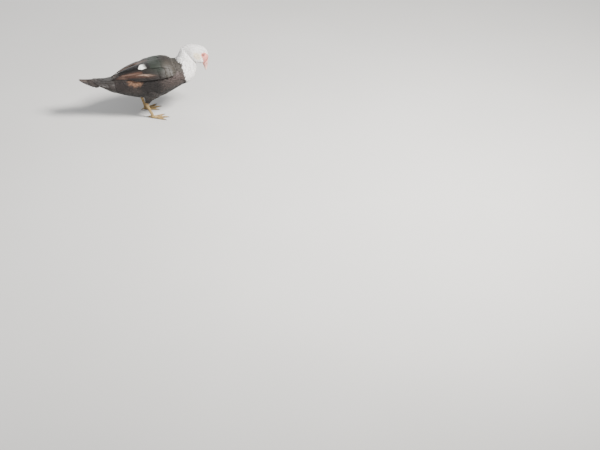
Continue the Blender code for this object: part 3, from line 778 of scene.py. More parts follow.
@dataclass
class CoatRegion:
    """One stretch of the coat, from one station and angle to another."""

    name: str
    slot: str
    kind: Kind
    stations: tuple
    degrees: tuple
    spacing: float
    size: float = 1.0
    seed: int = 1
    cell: float = 0.004

    def cover(self, station: Array, degrees: Array) -> Array:
        """1 where feathers grow, 0 on the bare face and under the folded wings."""
        face = HEAD_SHAPE.bareness(station, degrees)
        hidden = WING_COVER.hides(station, degrees)
        turn = np.radians(degrees)
        wave = 0.16 * np.sin(turn * 9 + 1) + 0.12 * np.sin(turn * 23) + 0.08 * np.sin(turn * 41 + 2)
        inside = (station >= self.stations[0] + wave) & (station < self.stations[1] + wave)
        return (1 - ease(0.25, 0.75, face)) * (1 - hidden) * inside

    def sheet(self) -> Object:
        """The hidden sheet that the feathers stand on, with what each place says of them."""
        middle = (sum(self.stations) / 2, sum(self.degrees) / 2)
        along, around = DUCK.reach(np.array([middle[0]]), np.array([middle[1]]))
        low, high = max(self.stations[0] - 0.4, 0.0), min(self.stations[1] + 0.4, 22.95)
        rows = max(4, int((high - low) * along[0] / self.cell))
        columns = max(6, int(abs(self.degrees[1] - self.degrees[0]) * around[0] / self.cell))
        station, degrees = np.meshgrid(np.linspace(low, high, rows + 1),
                                       np.linspace(*self.degrees, columns + 1), indexing="ij")
        station, degrees = station.ravel(), degrees.ravel()
        number = np.arange(len(station)).reshape(rows + 1, columns + 1)
        faces = np.stack([number[:-1, :-1], number[:-1, 1:], number[1:, 1:], number[1:, :-1]], -1)
        out, lie = DUCK.axes(station, degrees)
        behind = 0.7 * self.kind.value[0] * self.size / DUCK.reach(station, degrees)[0]
        points = DUCK.point(station, degrees, -coat_depth(station))
        mesh = new_mesh(self.name + "_sheet", points, faces.reshape(-1, 4).tolist())
        place = np.concatenate([DUCK.bake_place(station, degrees), np.zeros((len(station), 1))], 1)
        sway = ripple(points, 0.05, 3)[:, None] * 0.10
        dress(mesh, {"out": out, "lie": lie + sway * np.cross(out, lie), "place": place,
                     "size": self.size * (1 + 0.08 * ripple(points, 0.09, 4)),
                     "cover": self.cover(station, degrees),
                     "tint": PLUMAGE.colour(station - behind, degrees)})
        return place_object(mesh.name, mesh)

    def build(self, tree: CoatTree, feather: Object, material: Material) -> Object:
        """The coat of this stretch as one plain mesh.

        Args:
            tree: the coat's Geometry Nodes.
            feather: the vane to repeat.
            material: the feathers' finish.

        Returns:
            The piece, riding on the body.
        """
        return clothe(self.sheet(), self.name, self.slot, tree, {
            "Feather": feather, "Spacing": self.spacing, "Density": 9.0 / self.spacing ** 2,
            "Spread": 0.20, "Seed": self.seed, "Material": material})


def clothe(sheet: Object, name: str, slot: str, tree: CoatTree, inputs: dict) -> Object:
    """Runs the coat's nodes on a sheet and keeps the plain result in place of the sheet.

    Args:
        sheet: the hidden sheet.
        name: of the piece.
        slot: the record's slot.
        tree: the coat's Geometry Nodes.
        inputs: values of the tree's named inputs.

    Returns:
        The piece, riding on the body.
    """
    modifier = sheet.modifiers.new("coat", "NODES")
    modifier.node_group = tree.tree
    for key, value in inputs.items():
        modifier[tree.sockets[key]] = value
    mesh = evaluated(sheet)
    bpy.data.objects.remove(sheet)
    mesh.name = name
    store_patches(mesh)
    one_finish(mesh, inputs["Material"])
    mesh.shade_smooth()
    return settle(place_object(name, mesh), slot)


def store_patches(mesh: Mesh) -> None:
    """Gives each feather its patch on the bake map, at its root's place on the unwrapped skin."""
    corners = read(mesh.loops, "vertex_index", 1, np.int32)
    place = read(mesh.attributes["place"].data, "vector", 3)
    vane = read(mesh.uv_layers["Vane"].data, "uv", 2)
    patch = place[corners, :2] + (vane - 0.5) * PATCH
    mesh.uv_layers.new(name="OFBake").data.foreach_set("uv", patch.astype(np.float32).ravel())
    for name in ("place", "rise", "cover", "lie", "out", "size"):
        found = mesh.attributes.get(name)
        if found:
            mesh.attributes.remove(found)


@dataclass(frozen=True)
class WingFlesh:
    """The folded wing's flesh: where it lies on the flank and how thick it is, from rear to front."""

    stations: tuple = (4.3, 8.9)
    upper: tuple = (10, 13, 18, 26, 40)
    lower: tuple = (57, 66, 73, 72, 58)
    thick: tuple = (0.0032, 0.0052, 0.0062, 0.0070, 0.0020)
    margin: float = 9.0             # degrees that the flank's feathers reach under the wing

    def edges(self, station: Array) -> tuple:
        """Upper and lower edge in degrees, and thickness, at each station."""
        places = np.linspace(*self.stations, len(self.upper))
        return tuple(np.interp(station, places, row) for row in (self.upper, self.lower, self.thick))

    def height(self, station: Array, degrees: Array) -> Array:
        """How far the flesh stands over the form."""
        upper, lower, thick = self.edges(station)
        share = np.clip((np.abs(degrees) - upper) / (lower - upper), 0, 1)
        inside = ease(self.stations[0] - 0.25, self.stations[0] + 0.3, station) \
            * (1 - ease(self.stations[1] - 0.5, self.stations[1] + 0.2, station))
        return thick * np.sqrt(np.sin(math.pi * share)) * inside

    def hides(self, station: Array, degrees: Array) -> Array:
        """1 where the wing's feathers cover the body's own."""
        upper, lower, _ = self.edges(station)
        turn = np.abs(degrees)
        return ((turn > upper + self.margin) & (turn < lower - self.margin)
                & (station > self.stations[0] + 0.3) & (station < self.stations[1] - 0.7)).astype(float)


@dataclass(frozen=True)
class HeadShape:
    """The bare face with its caruncles, and the eyes' sockets and lids."""

    rear: tuple = ((0, 22.3), (25, 22.1), (42, 21.3), (54, 19.9), (64, 19.3), (80, 19.15), (93, 19.6),
                   (110, 20.6), (130, 21.6), (150, 22.2), (180, 22.5))     # edge of the bare skin
    eye: tuple = (19.85, 71.0)
    ball: float = 0.0056
    sunk: float = 0.0041
    opening: tuple = (0.0044, 0.0035)
    lid: float = 0.0008
    bulbs: int = 420
    radii: tuple = (0.0009, 0.0021)
    seed: int = 11

    def bareness(self, station: Array, degrees: Array) -> Array:
        """1 on the bare face, 0 on the feathered head."""
        edge = np.interp(np.abs(degrees), *zip(*self.rear))
        edge = edge + 0.10 * np.sin(np.radians(degrees) * 14) * np.sin(station * 5 + 1)
        return ease(-0.16, 0.16, station - edge)

    def eye_axes(self, side: int) -> tuple:
        """The eye's place on the form, its outward axis, its forward axis and its upward one.

        Args:
            side: 1 on the left, -1 on the right.

        Returns:
            The place and the three axes.
        """
        station, degrees = self.eye
        place = DUCK.point(station, side * degrees)
        out = DUCK.axes(np.array([station]), np.array([side * degrees]))[0][0]
        bill = DUCK.point(22.4, side * 66.0) - place
        ahead = unit(bill - out * (bill @ out))
        up = np.cross(out, ahead)
        return place, out, ahead, up * np.sign(up[2])

    def bulb_places(self, side: int) -> tuple:
        """Stations, degrees and radii of the caruncles on one side.

        Args:
            side: 1 on the left, -1 on the right.

        Returns:
            One of each a caruncle.
        """
        draw = np.random.default_rng(self.seed + side)
        station = draw.uniform(18.9, 22.9, self.bulbs)
        degrees = draw.uniform(0, 150, self.bulbs)
        keep = self.bareness(station, degrees) > 0.7
        station, degrees = station[keep], degrees[keep]
        near_eye = np.hypot((station - self.eye[0]) * 0.8, (degrees - self.eye[1]) / 30)
        radii = draw.uniform(*self.radii, len(station)) * (0.75 + 0.45 * ease(20.6, 22.3, station))
        keep = near_eye > 0.62
        return station[keep], side * degrees[keep], radii[keep]

    def relief(self, points: Array, station: Array, degrees: Array) -> Array:
        """Height of the face's forms over the form, in metres.

        Args:
            points: places on the form.
            station: of each place.
            degrees: of each place.

        Returns:
            One height a place.
        """
        height = np.zeros(len(points))
        bare = self.bareness(station, degrees)
        for side in SIDES.values():
            near = np.where((station > 18.2) & (np.sign(degrees) * side >= 0) & (np.abs(degrees) < 158))[0]
            tops, turns, radii = self.bulb_places(side)
            centres = DUCK.point(tops, turns)
            gap = np.linalg.norm(points[near][:, None] - centres[None], axis=-1) / radii
            domes = np.where(gap < 1, np.sqrt(np.clip(1 - gap ** 2, 0, 1)), 0) * radii * 0.62
            height[near] += domes.max(1) * bare[near]
            height[near] = self.round_eye(points[near], side, height[near])
        return height

    def round_eye(self, points: Array, side: int, height: Array) -> Array:
        """The heights with the socket, the two lids and their folds worked in.

        Args:
            points: places on the form near one eye.
            side: 1 on the left, -1 on the right.
            height: of each place so far.

        Returns:
            One height a place.
        """
        place, out, ahead, up = self.eye_axes(side)
        away = points - place
        level = away @ out
        flat = np.hypot(away @ ahead, away @ up)
        ring = np.hypot(away @ ahead / self.opening[0], away @ up / self.opening[1])
        cover = np.sqrt(np.clip((self.ball + self.lid) ** 2 - flat ** 2, 0, None)) - self.sunk - level
        lids = np.where(ring >= 1, np.maximum(cover, 0), 0)
        folds = 0.00028 * np.cos((ring - 1.12) * math.tau / 0.42) * ease(3.2, 1.5, ring) * (ring > 1)
        rim = 0.00030 * hump(ring, 1.08, 0.07)
        made = height * ease(1.25, 1.9, ring) + lids * ease(2.4, 1.4, ring) + folds + rim
        pit = -0.0052 * ease(1.02, 0.86, ring) - level * (ring < 1)
        return np.where(ring < 1.02, pit, made)


WING_COVER = WingFlesh()
HEAD_SHAPE = HeadShape()


@dataclass
class Thigh:
    """A feathered thigh from the body to the hock."""

    side_name: str
    top: tuple = (-0.022, 0.050, 0.158)
    hock: tuple = (-0.058, 0.049, 0.072)
    stride: tuple = (("right", 0.0072), ("left", -0.0036))
    radii: tuple = (0.050, 0.054, 0.047, 0.031, 0.0185, 0.0125)
    flatten: float = 0.78
    depth: float = 0.0030

    def line(self) -> tuple:
        """Its two ends in the frame, the lower one just over the hock."""
        mirror = (1, SIDES[self.side_name], 1)
        top = np.array(self.top) * mirror + (MIDDLE_X, 0, 0)
        hock = (self.hock + np.array([dict(self.stride)[self.side_name], 0, 0])) * mirror + (MIDDLE_X, 0, 0)
        down = unit(hock - top)
        return top, hock - down * 0.010, down

    def point(self, share: Array, degrees: Array, lift: Array = 0.0) -> Array:
        """Places on the thigh: share from its top, degrees round it."""
        top, end, down = self.line()
        radius = np.interp(share, np.linspace(0, 1, len(self.radii)), self.radii) + lift
        across = unit(np.array([0.0, 1, 0]) - down * down[1])
        turn = np.radians(degrees)
        return between(top, end, share[:, None]) \
            + across * (radius * self.flatten * np.cos(turn))[:, None] \
            + np.cross(down, across) * (radius * np.sin(turn))[:, None]

    def grid(self, rows: int, columns: int, lift: float) -> tuple:
        """Points of a tube over the thigh, with the share and degrees of each."""
        share, degrees = np.meshgrid(np.linspace(0, 1, rows + 1),
                                     np.linspace(0, 360, columns, endpoint=False), indexing="ij")
        share, degrees = share.ravel(), degrees.ravel()
        return self.point(share, degrees, lift), share, degrees

    def bake_place(self, share: Array, degrees: Array) -> Array:
        """Place on the unwrapped skin, in the strip kept for the thighs."""
        low = 0.03 if self.side_name == "right" else 0.53
        return np.stack([0.875 + 0.11 * share, low + 0.42 * degrees / 360], -1)

    def tint(self, points: Array) -> Array:
        """Linear colour at each place."""
        shade = 1 + 0.12 * ripple(points, 0.03, 6)[:, None]
        light = ease(0.19, 0.08, points[:, 2])[:, None]
        return (srgb(28, 23, 22) * (1 - light) + srgb(38, 32, 30) * light) * shade

    def flesh(self) -> Object:
        """The closed tube under the feathers."""
        rows, columns = 16, 40
        points, _, _ = self.grid(rows, columns, -self.depth - 0.0004)
        faces = tube_faces(rows, columns)
        faces += [tuple(range(columns))[::-1], tuple(range(rows * columns, (rows + 1) * columns))]
        mesh = new_mesh("flesh_" + self.side_name, points, faces)
        turn_out(mesh)
        return place_object(mesh.name, mesh)

    def coat(self, tree: CoatTree, feather: Object, material: Material) -> Object:
        """The thigh's feathers, smaller towards the hock.

        Args:
            tree: the coat's Geometry Nodes.
            feather: the vane to repeat.
            material: the feathers' finish.

        Returns:
            The piece, riding on the body.
        """
        rows, columns = 30, 56
        points, share, degrees = self.grid(rows, columns, -self.depth)
        ahead = self.point(np.minimum(share + 0.02, 1.02), degrees) - self.point(share, degrees)
        around = self.point(share, degrees + 1) - self.point(share, degrees - 1)
        out = unit(np.cross(around, ahead))
        middle = self.point(share, degrees, -0.01)
        out *= np.sign(((points - middle) * out).sum(1, keepdims=True))
        lie = unit(ahead) - np.array([0.35, 0, 0])
        mesh = new_mesh("thigh_sheet", points, tube_faces(rows, columns))
        place = np.concatenate([self.bake_place(share, degrees), np.zeros((len(share), 1))], 1)
        dress(mesh, {"out": out, "lie": lie, "place": place, "size": 1.0 - 0.55 * share,
                     "cover": outside_body(points), "tint": self.tint(points)})
        return clothe(place_object(mesh.name, mesh), "thigh_feathers_" + self.side_name, "plumage_dark",
                      tree, {"Feather": feather, "Spacing": 0.0052, "Density": 130000.0, "Spread": 0.22,
                             "Seed": 40 + SIDES[self.side_name], "Material": material})


def outside_body(points: Array) -> Array:
    """1 for places that stand out of the body's skin, else 0."""
    station, degrees = np.meshgrid(np.linspace(2, 9, 90), np.linspace(-180, 180, 181), indexing="ij")
    station, degrees = station.ravel(), degrees.ravel()
    skin = DUCK.point(station, degrees, -0.0034)
    out, _ = DUCK.axes(station, degrees)
    found = np.array([np.argmin(((skin - place) ** 2).sum(1)) for place in points])
    return (((points - skin[found]) * out[found]).sum(1) > -0.001).astype(float)


@dataclass
class Skin:
    """One skin over torso, neck, head and thighs, under the coat by its depth."""

    columns: int = 160
    body_step: float = 0.13
    head_step: float = 0.055
    head_from: float = 15.0

    def lattice(self) -> tuple:
        """Stations of the rings and degrees of the columns."""
        body = np.arange(0, self.head_from, self.body_step)
        head = np.linspace(self.head_from, 23, int((23 - self.head_from) / self.head_step) + 1)
        return np.concatenate([body, head]), -180 + 360 * np.arange(self.columns) / self.columns

    def build(self, material: Material, thighs: list) -> Object:
        """The skin as one closed mesh.

        Args:
            material: its finish.
            thighs: the two thighs.

        Returns:
            The piece, riding on the body.
        """
        mesh = self.plan()
        self.raise_relief(mesh)
        piece = place_object("skin", mesh)
        self.join(piece, [thigh.flesh() for thigh in thighs])
        self.paint(piece.data, thighs)
        one_finish(piece.data, material)
        piece.data.shade_smooth()
        return settle(piece, "plumage_white", "torso", "neck", "head", "thigh_left", "thigh_right")

    def plan(self) -> Mesh:
        """The skin's net drawn flat, X the station and Y the degrees, finer on the face."""
        stations, degrees = self.lattice()
        net = bmesh.new()
        verts = [net.verts.new((station, turn, 0)) for station in stations for turn in degrees]
        for face in tube_faces(len(stations) - 1, self.columns):
            net.faces.new([verts[k] for k in face])
        net.faces.new(verts[:self.columns][::-1])
        net.faces.new(verts[-self.columns:])
        for level in range(2):
            chosen = set()
            for face in net.faces:
                corners = np.array([vert.co for vert in face.verts])
                if len(corners) > 8 or np.ptp(corners[:, 1]) > 90:
                    continue
                if self.is_fine(*corners[:, :2].mean(0), level):
                    chosen.update(face.edges)
            bmesh.ops.subdivide_edges(net, edges=list(chosen), cuts=1, use_grid_fill=True)
        return net_mesh("skin", net)

    def is_fine(self, station: float, degrees: float, level: int) -> bool:
        """Whether the net is made finer there: on the bare face once, round the eyes twice.

        Args:
            station: of the place.
            degrees: of the place.
            level: 0 for the first round, 1 for the second.

        Returns:
            True for a finer net.
        """
        away, around = abs(degrees) - HEAD_SHAPE.eye[1], station - HEAD_SHAPE.eye[0]
        if math.hypot(around * 0.75, away / 24) < 1.0:
            return True
        return level == 0 and station > 18.6 and abs(degrees) < 150 \
            and HEAD_SHAPE.bareness(np.array([station + 0.3]), np.array([degrees]))[0] > 0.2

    def raise_relief(self, mesh: Mesh) -> None:
        """Wraps the flat net round the form and works in the wings' flesh and the face."""
        station, degrees = read(mesh.vertices, "co", 3).astype(float)[:, :2].T
        bare = HEAD_SHAPE.bareness(station, degrees)
        lift = -(coat_depth(station) + 0.0004) * (1 - bare)
        lift += 0.8 * WING_COVER.height(station, degrees)
        points = DUCK.point(station, degrees)
        out, _ = DUCK.axes(np.clip(station, 0.03, 22.97), degrees)
        lift += HEAD_SHAPE.relief(points, station, degrees)
        points += out * lift[:, None]
        mesh.vertices.foreach_set("co", points.astype(np.float32).ravel())
        dress(mesh, {"station": station, "degrees": degrees})
        turn_out(mesh)

    def join(self, piece: Object, others: list) -> None:
        """Fuses the thighs' flesh to the skin.

        Args:
            piece: the skin.
            others: the thighs' flesh, which is used up.
        """
        for other in others:
            modifier = piece.modifiers.new("thigh", "BOOLEAN")
            modifier.operation = "UNION"
            modifier.solver = "MANIFOLD"
            modifier.object = other
            piece.data = evaluated(piece)
            piece.modifiers.clear()
            bpy.data.objects.remove(other)

    def paint(self, mesh: Mesh, thighs: list) -> None:
        """Stores colours, bareness and the bake map.

        Args:
            mesh: of the skin, with the station and degrees of its points.
            thighs: the two thighs, which have colours and places on the map of their own.
        """
        points = read(mesh.vertices, "co", 3).astype(float)
        station, degrees = (read(mesh.attributes[name].data, "value").astype(float)
                            for name in ("station", "degrees"))
        strange = np.linalg.norm(points - DUCK.point(station, degrees), axis=1) > 0.012
        bare = HEAD_SHAPE.bareness(station, degrees) * ~strange
        # Painted shade: under the dark plumage the skin is a quarter darker, as shade in the gaps between
        # the feathers.
        tint = PLUMAGE.colour(station, degrees) * (1 - 0.25 * (station < 10))[:, None]
        away = np.linalg.norm(np.abs(points) - np.abs(HEAD_SHAPE.eye_axes(1)[0]), axis=1)
        redder = np.where(np.abs(station - 20) < 2, ease(0.011, 0.006, away), station > 18)
        face = lay(srgb(234, 154, 142) * np.ones((len(points), 1)), (190, 112, 102), redder)
        tint += (face - tint) * bare[:, None]
        bake = DUCK.bake_place(station, degrees)
        for thigh in thighs:
            mine = strange & (points[:, 1] * SIDES[thigh.side_name] > 0)
            top, end, down = thigh.line()
            share = np.clip(((points[mine] - top) @ down) / np.linalg.norm(end - top), 0, 1)
            turn = np.degrees(np.arctan2(points[mine, 0] - top[0], points[mine, 1] - top[1])) % 360
            bake[mine] = thigh.bake_place(share, turn)
            tint[mine] = thigh.tint(points[mine])
        for name in ("station", "degrees"):
            mesh.attributes.remove(mesh.attributes[name])
        dress(mesh, {"tint": tint, "bare": bare}, {"OFBake": bake})
        self.mend_seam(mesh)

    def mend_seam(self, mesh: Mesh) -> None:
        """Keeps each face on one side of the map's seam under the belly."""
        layer = mesh.uv_layers["OFBake"].data
        for polygon in mesh.polygons:
            loops = list(polygon.loop_indices)
            rows = [layer[k].uv.y for k in loops]
            if len(loops) < 9 and max(rows) - min(rows) > 0.5:
                for k in loops:
                    if layer[k].uv.y < 0.3:
                        layer[k].uv.y = 0.988


@dataclass(frozen=True)
class Tier:
    """A row of long feathers on the form, from its first feather to its last.

    Roots and tips are a station and degrees for the first and the last feather. Lifts are heights
    over the form at root, middle and tip, and rise is added from one feather to the next. Tilt
    lifts one edge over the other, and camber the middle over both. Bow shapes the line of the
    tips, taper narrows a feather to its tip, rings are the steps along it, and jitter is how far
    its tip may stray, in stations.
    """

    count: int
    roots: tuple
    tips: tuple
    lifts: tuple
    width: float
    tilt: float
    bow: float = 1.0
    rise: float = 0.0
    camber: float = 0.0006
    taper: float = 0.15
    rings: int = 12
    jitter: float = 0.03


class WingTier(Enum):
    """Feathers of one folded wing, in the order they lie over one another."""

    PRIMARIES = Tier(7, ((4.8, 60), (4.8, 44)), ((2.30, 13.5), (3.55, 24)), (0.0014, 0.0014, 0.0014),
                     0.0160, 0.0002, 1.15, 0.00062, 0.0005, 0.42, 18)
    SECONDARIES = Tier(12, ((6.4, 66), (6.4, 22)), ((4.30, 57), (3.25, 12)), (0.0050, 0.0076, 0.0070),
                       0.0165, 0.00115, 0.8, 0.0, 0.0006, 0.10, 16)
    TERTIALS = Tier(4, ((6.6, 27), (6.6, 13)), ((3.85, 18), (3.20, 7)), (0.0062, 0.0092, 0.0080),
                    0.0185, 0.0010, 1.0, 0.0002, 0.0008, 0.20, 16)
    GREATER_COVERTS = Tier(14, ((7.8, 67), (7.6, 24)), ((5.55, 64), (5.05, 15)),
                           (0.0050, 0.0090, 0.0088), 0.0150, 0.00105)
    MIDDLE_COVERTS = Tier(13, ((8.30, 64), (8.2, 32)), ((6.75, 68), (6.55, 24)),
                          (0.0040, 0.0096, 0.0100), 0.0150, 0.0010)
    LESSER_COVERTS = Tier(13, ((8.55, 63), (8.5, 36)), ((7.45, 69), (7.30, 27)),
                          (0.0022, 0.0096, 0.0108), 0.0140, 0.0009)
    MARGINAL_COVERTS = Tier(12, ((8.95, 62), (8.9, 40)), ((8.0, 68), (7.95, 31)),
                            (0.0004, 0.0080, 0.0108), 0.0130, 0.0008)
    LOW_SCAPULARS = Tier(7, ((6.9, 30), (6.9, 3)), ((5.05, 28), (4.85, 4)), (0.0060, 0.0110, 0.0092),
                         0.0190, 0.0010, 1.0, -0.0004, 0.0010)
    MIDDLE_SCAPULARS = Tier(9, ((7.9, 36), (7.9, 3)), ((6.0, 33), (5.75, 4)), (0.0050, 0.0118, 0.0108),
                            0.0185, 0.0010, 1.0, -0.0004, 0.0010)
    HIGH_SCAPULARS = Tier(10, ((8.8, 42), (8.8, 3)), ((7.0, 37), (6.85, 4)), (0.0012, 0.0110, 0.0116),
                          0.0170, 0.0009, 1.0, -0.0003, 0.0010)


@dataclass(frozen=True)
class WingColours:
    """Colours of the folded wing by place, each feather taking most from the place of its tip, with painted
    light and shade in some bands.
    """

    base: tuple = (32, 27, 25)
    markings: tuple = (
        Marking(8.3, 50, 1.45, 60, 0, (58, 53, 47)),
        Marking(6.45, 26, 0.85, 34, 0, (34, 38, 32)),
        # Partly painted shade: the black secondaries are deepened as if in shade in their recess.
        Marking(4.40, 14, 1.60, 12, 8, (16, 12, 11)),
        # Partly painted light: the faded brown edges of the lower feathers are lightened as if sunlit.
        Marking(4.35, 41, 1.60, 9.5, 10.5, (70, 47, 38)),
        Marking(5.10, 48, 0.75, 5, 8, (140, 118, 104), 0.85),
        Marking(3.60, 31, 0.8, 4, 9, (120, 96, 84), 0.6),
        # Partly painted light: the wing's top edge along the back is lighter as if sunlit, over faded brown
        # feathers.
        Marking(4.20, 2, 1.2, 5, 0, (98, 77, 67), 0.8),
    )
    white: tuple = (240, 236, 230)
    white_place: tuple = (5.10, 22.0, 0.34, 7.5)

    def colour(self, station: Array, degrees: Array) -> Array:
        """Linear colour of each place."""
        made = srgb(*self.base) * np.ones(np.shape(station) + (3,))
        for mark in self.markings:
            made = mark.on(made, station, degrees)
        return made

    def feather(self, station: Array, degrees: Array, along: Array, column: Array, covert: bool) -> Array:
        """Linear colour of one feather's points.

        Args:
            station: of each point.
            degrees: of each point.
            along: share of the feather's length, one a ring.
            column: from one edge, -1, to the other, 1.
            covert: whether the feather may belong to the white patch.

        Returns:
            One colour a point.
        """
        tip_station, tip_degrees = station[-4:].mean(), degrees[-4:].mean()
        made = self.colour(0.35 * station + 0.65 * tip_station, 0.35 * degrees + 0.65 * tip_degrees)
        dark = ease(0.55, 1.0, along)[:, None] * ease(0.2, 0.9, np.abs(column))[None]
        made *= 1 - 0.16 * dark[..., None]
        middle, turn, half_length, half_width = self.white_place
        if covert and abs(tip_station - middle) < half_length and abs(tip_degrees - turn) < half_width:
            share = ease(0.64, 0.70, along) * (1 - 0.75 * ease(0.95, 1.0, along))
            made = lay(made, self.white, share[:, None] * np.ones_like(station))
        return made


@dataclass
class VaneMaker:
    """Makes long feathers as closed thin vanes with a raised shaft, into one draft."""

    draft: Draft
    seed: int
    columns: tuple = (-1, -0.62, -0.30, -0.07, 0, 0.07, 0.30, 0.62, 1)
    shaft: float = 0.00022

    def __post_init__(self) -> None:
        """Starts the draw of small differences."""
        self.draw = np.random.default_rng(self.seed)

    def outline(self, share: Array, taper: float) -> Array:
        """Half width along the feather, 1 at its widest."""
        body = 0.40 + 0.60 * np.sin(np.minimum(share / 0.36, 1) * math.pi / 2)
        tip = np.sqrt(np.clip(1 - (np.maximum(share - 0.80, 0) / 0.205) ** 2, 0.0, 1))
        return body * tip * (1 - taper * share)

    def store(self, points: Array, along: Array, where: Array, tint: Array, spread: float,
              flip: bool) -> None:
        """Adds one feather to the draft.

        Args:
            points: its places by ring and column.
            along: share of its length at each ring.
            where: place of its root on the bake map.
            tint: linear colours by ring and column.
            spread: how far its own lightness may lie from the middle.
            flip: whether its faces are wound the other way.
        """
        vane = np.stack(np.broadcast_arrays(0.5 + np.array(self.columns) / 2, along[:, None]), -1)
        vane = vane.reshape(-1, 2)
        faces = vane_faces(len(along) - 1, len(self.columns))
        self.draft.add(points.reshape(-1, 3), [face[::-1] for face in faces] if flip else faces, vane,
                       where + (vane - 0.5) * LONG_PATCH, tint.reshape(-1, 3),
                       self.draw.uniform(0.5 - spread, 0.5 + spread))

    def on_form(self, tier: Tier, share: float, side: int, colours: object) -> None:
        """One feather of a tier.

        Args:
            tier: that it belongs to.
            share: its place from the tier's first feather, 0, to its last, 1.
            side: 1 on the left, -1 on the right.
            colours: gives a colour for stations and degrees.
        """
        root = between(*tier.roots, share)
        tip = between(*tier.tips, (share ** tier.bow, share))
        tip = tip + self.draw.normal(0, 1, 2) * (tier.jitter, tier.jitter * 12)
        along = 1 - (1 - np.linspace(0, 1, tier.rings + 1)) ** 1.25
        station, degrees = between(root, tip, along[:, None]).T
        per_station, per_degree = DUCK.reach(station, degrees)
        run, climb = (tip[0] - root[0]) * per_station, (tip[1] - root[1]) * per_degree
        length = np.hypot(run, climb)
        low, middle, high = tier.lifts
        lift = low * (1 - along) * (1 - 2 * along) + middle * 4 * along * (1 - along) \
            + high * along * (2 * along - 1) + tier.rise * share * (tier.count - 1)
        half = tier.width / 2 * self.outline(along, tier.taper) * self.draw.uniform(0.95, 1.05)
        column = np.array(self.columns)[None, :]
        off = half[:, None] * column
        back = 0.08 * column ** 2 * ease(0.80, 1.0, along)[:, None] * (root[0] - tip[0])
        station = station[:, None] + off * (climb / length / per_station)[:, None] + back
        degrees = degrees[:, None] - off * (run / length / per_degree)[:, None]
        up = lift[:, None] + tier.tilt * column * self.outline(along, 0)[:, None] \
            + tier.camber * (1 - column ** 2) * (half / half.max())[:, None] \
            + self.shaft * (column == 0) * (1 - 0.6 * along[:, None])
        if isinstance(colours, WingColours):
            covert = tier in (WingTier.GREATER_COVERTS.value, WingTier.LOW_SCAPULARS.value)
            tint = colours.feather(station, degrees, along, column[0], covert)
        else:
            tint = colours.colour((station + station.mean()) / 2, (degrees + degrees.mean()) / 2)
        self.store(DUCK.point(station, side * degrees, up), along,
                   DUCK.bake_place(station.mean(), side * degrees.mean()), tint, 0.16, side < 0)

    def in_space(self, middle: Array, lean: tuple, over: int, half: Array, camber: float,
                 where: Array, tint: Array) -> None:
        """One feather along a line in space.

        Args:
            middle: places of its shaft, one a ring.
            lean: sideways and upward parts of the direction across it.
            over: 1 where it faces up, -1 where it faces down.
            half: half width at each ring.
            camber: height of its middle over its edges.
            where: place of its root on the bake map.
            tint: linear colour at each ring.
        """
        along = np.linspace(0, 1, len(middle))
        column = np.array(self.columns)
        points = middle[:, None] + (half[:, None] * column)[..., None] * unit(np.array([0.0, *lean]))
        points[..., 2] += over * (camber * (1 - column ** 2) * (half / half.max())[:, None]
                                  + self.shaft * (column == 0))
        tint = np.repeat(tint[:, None], len(column), 1)
        self.store(points, along, where, tint, 0.14, (lean[0] < 0) != (over < 0))


@dataclass
class Wing:
    """A folded wing and the scapulars that lie over its upper edge."""

    side_name: str

    def build(self, material: Material) -> Object:
        """All its feathers as one piece, which stands for the solid wing.

        Args:
            material: the feathers' finish.

        Returns:
            The piece, riding on the body.
        """
        draft = Draft()
        side = SIDES[self.side_name]
        maker = VaneMaker(draft, 60 + side)
        colours = WingColours()
        for name in WingTier:
            tier = name.value
            for k in range(tier.count):
                maker.on_form(tier, k / (tier.count - 1), side, colours)
        piece = draft.build("wing_feathers_" + self.side_name, material)
        return settle(piece, "plumage_wing", "wing_" + self.side_name)


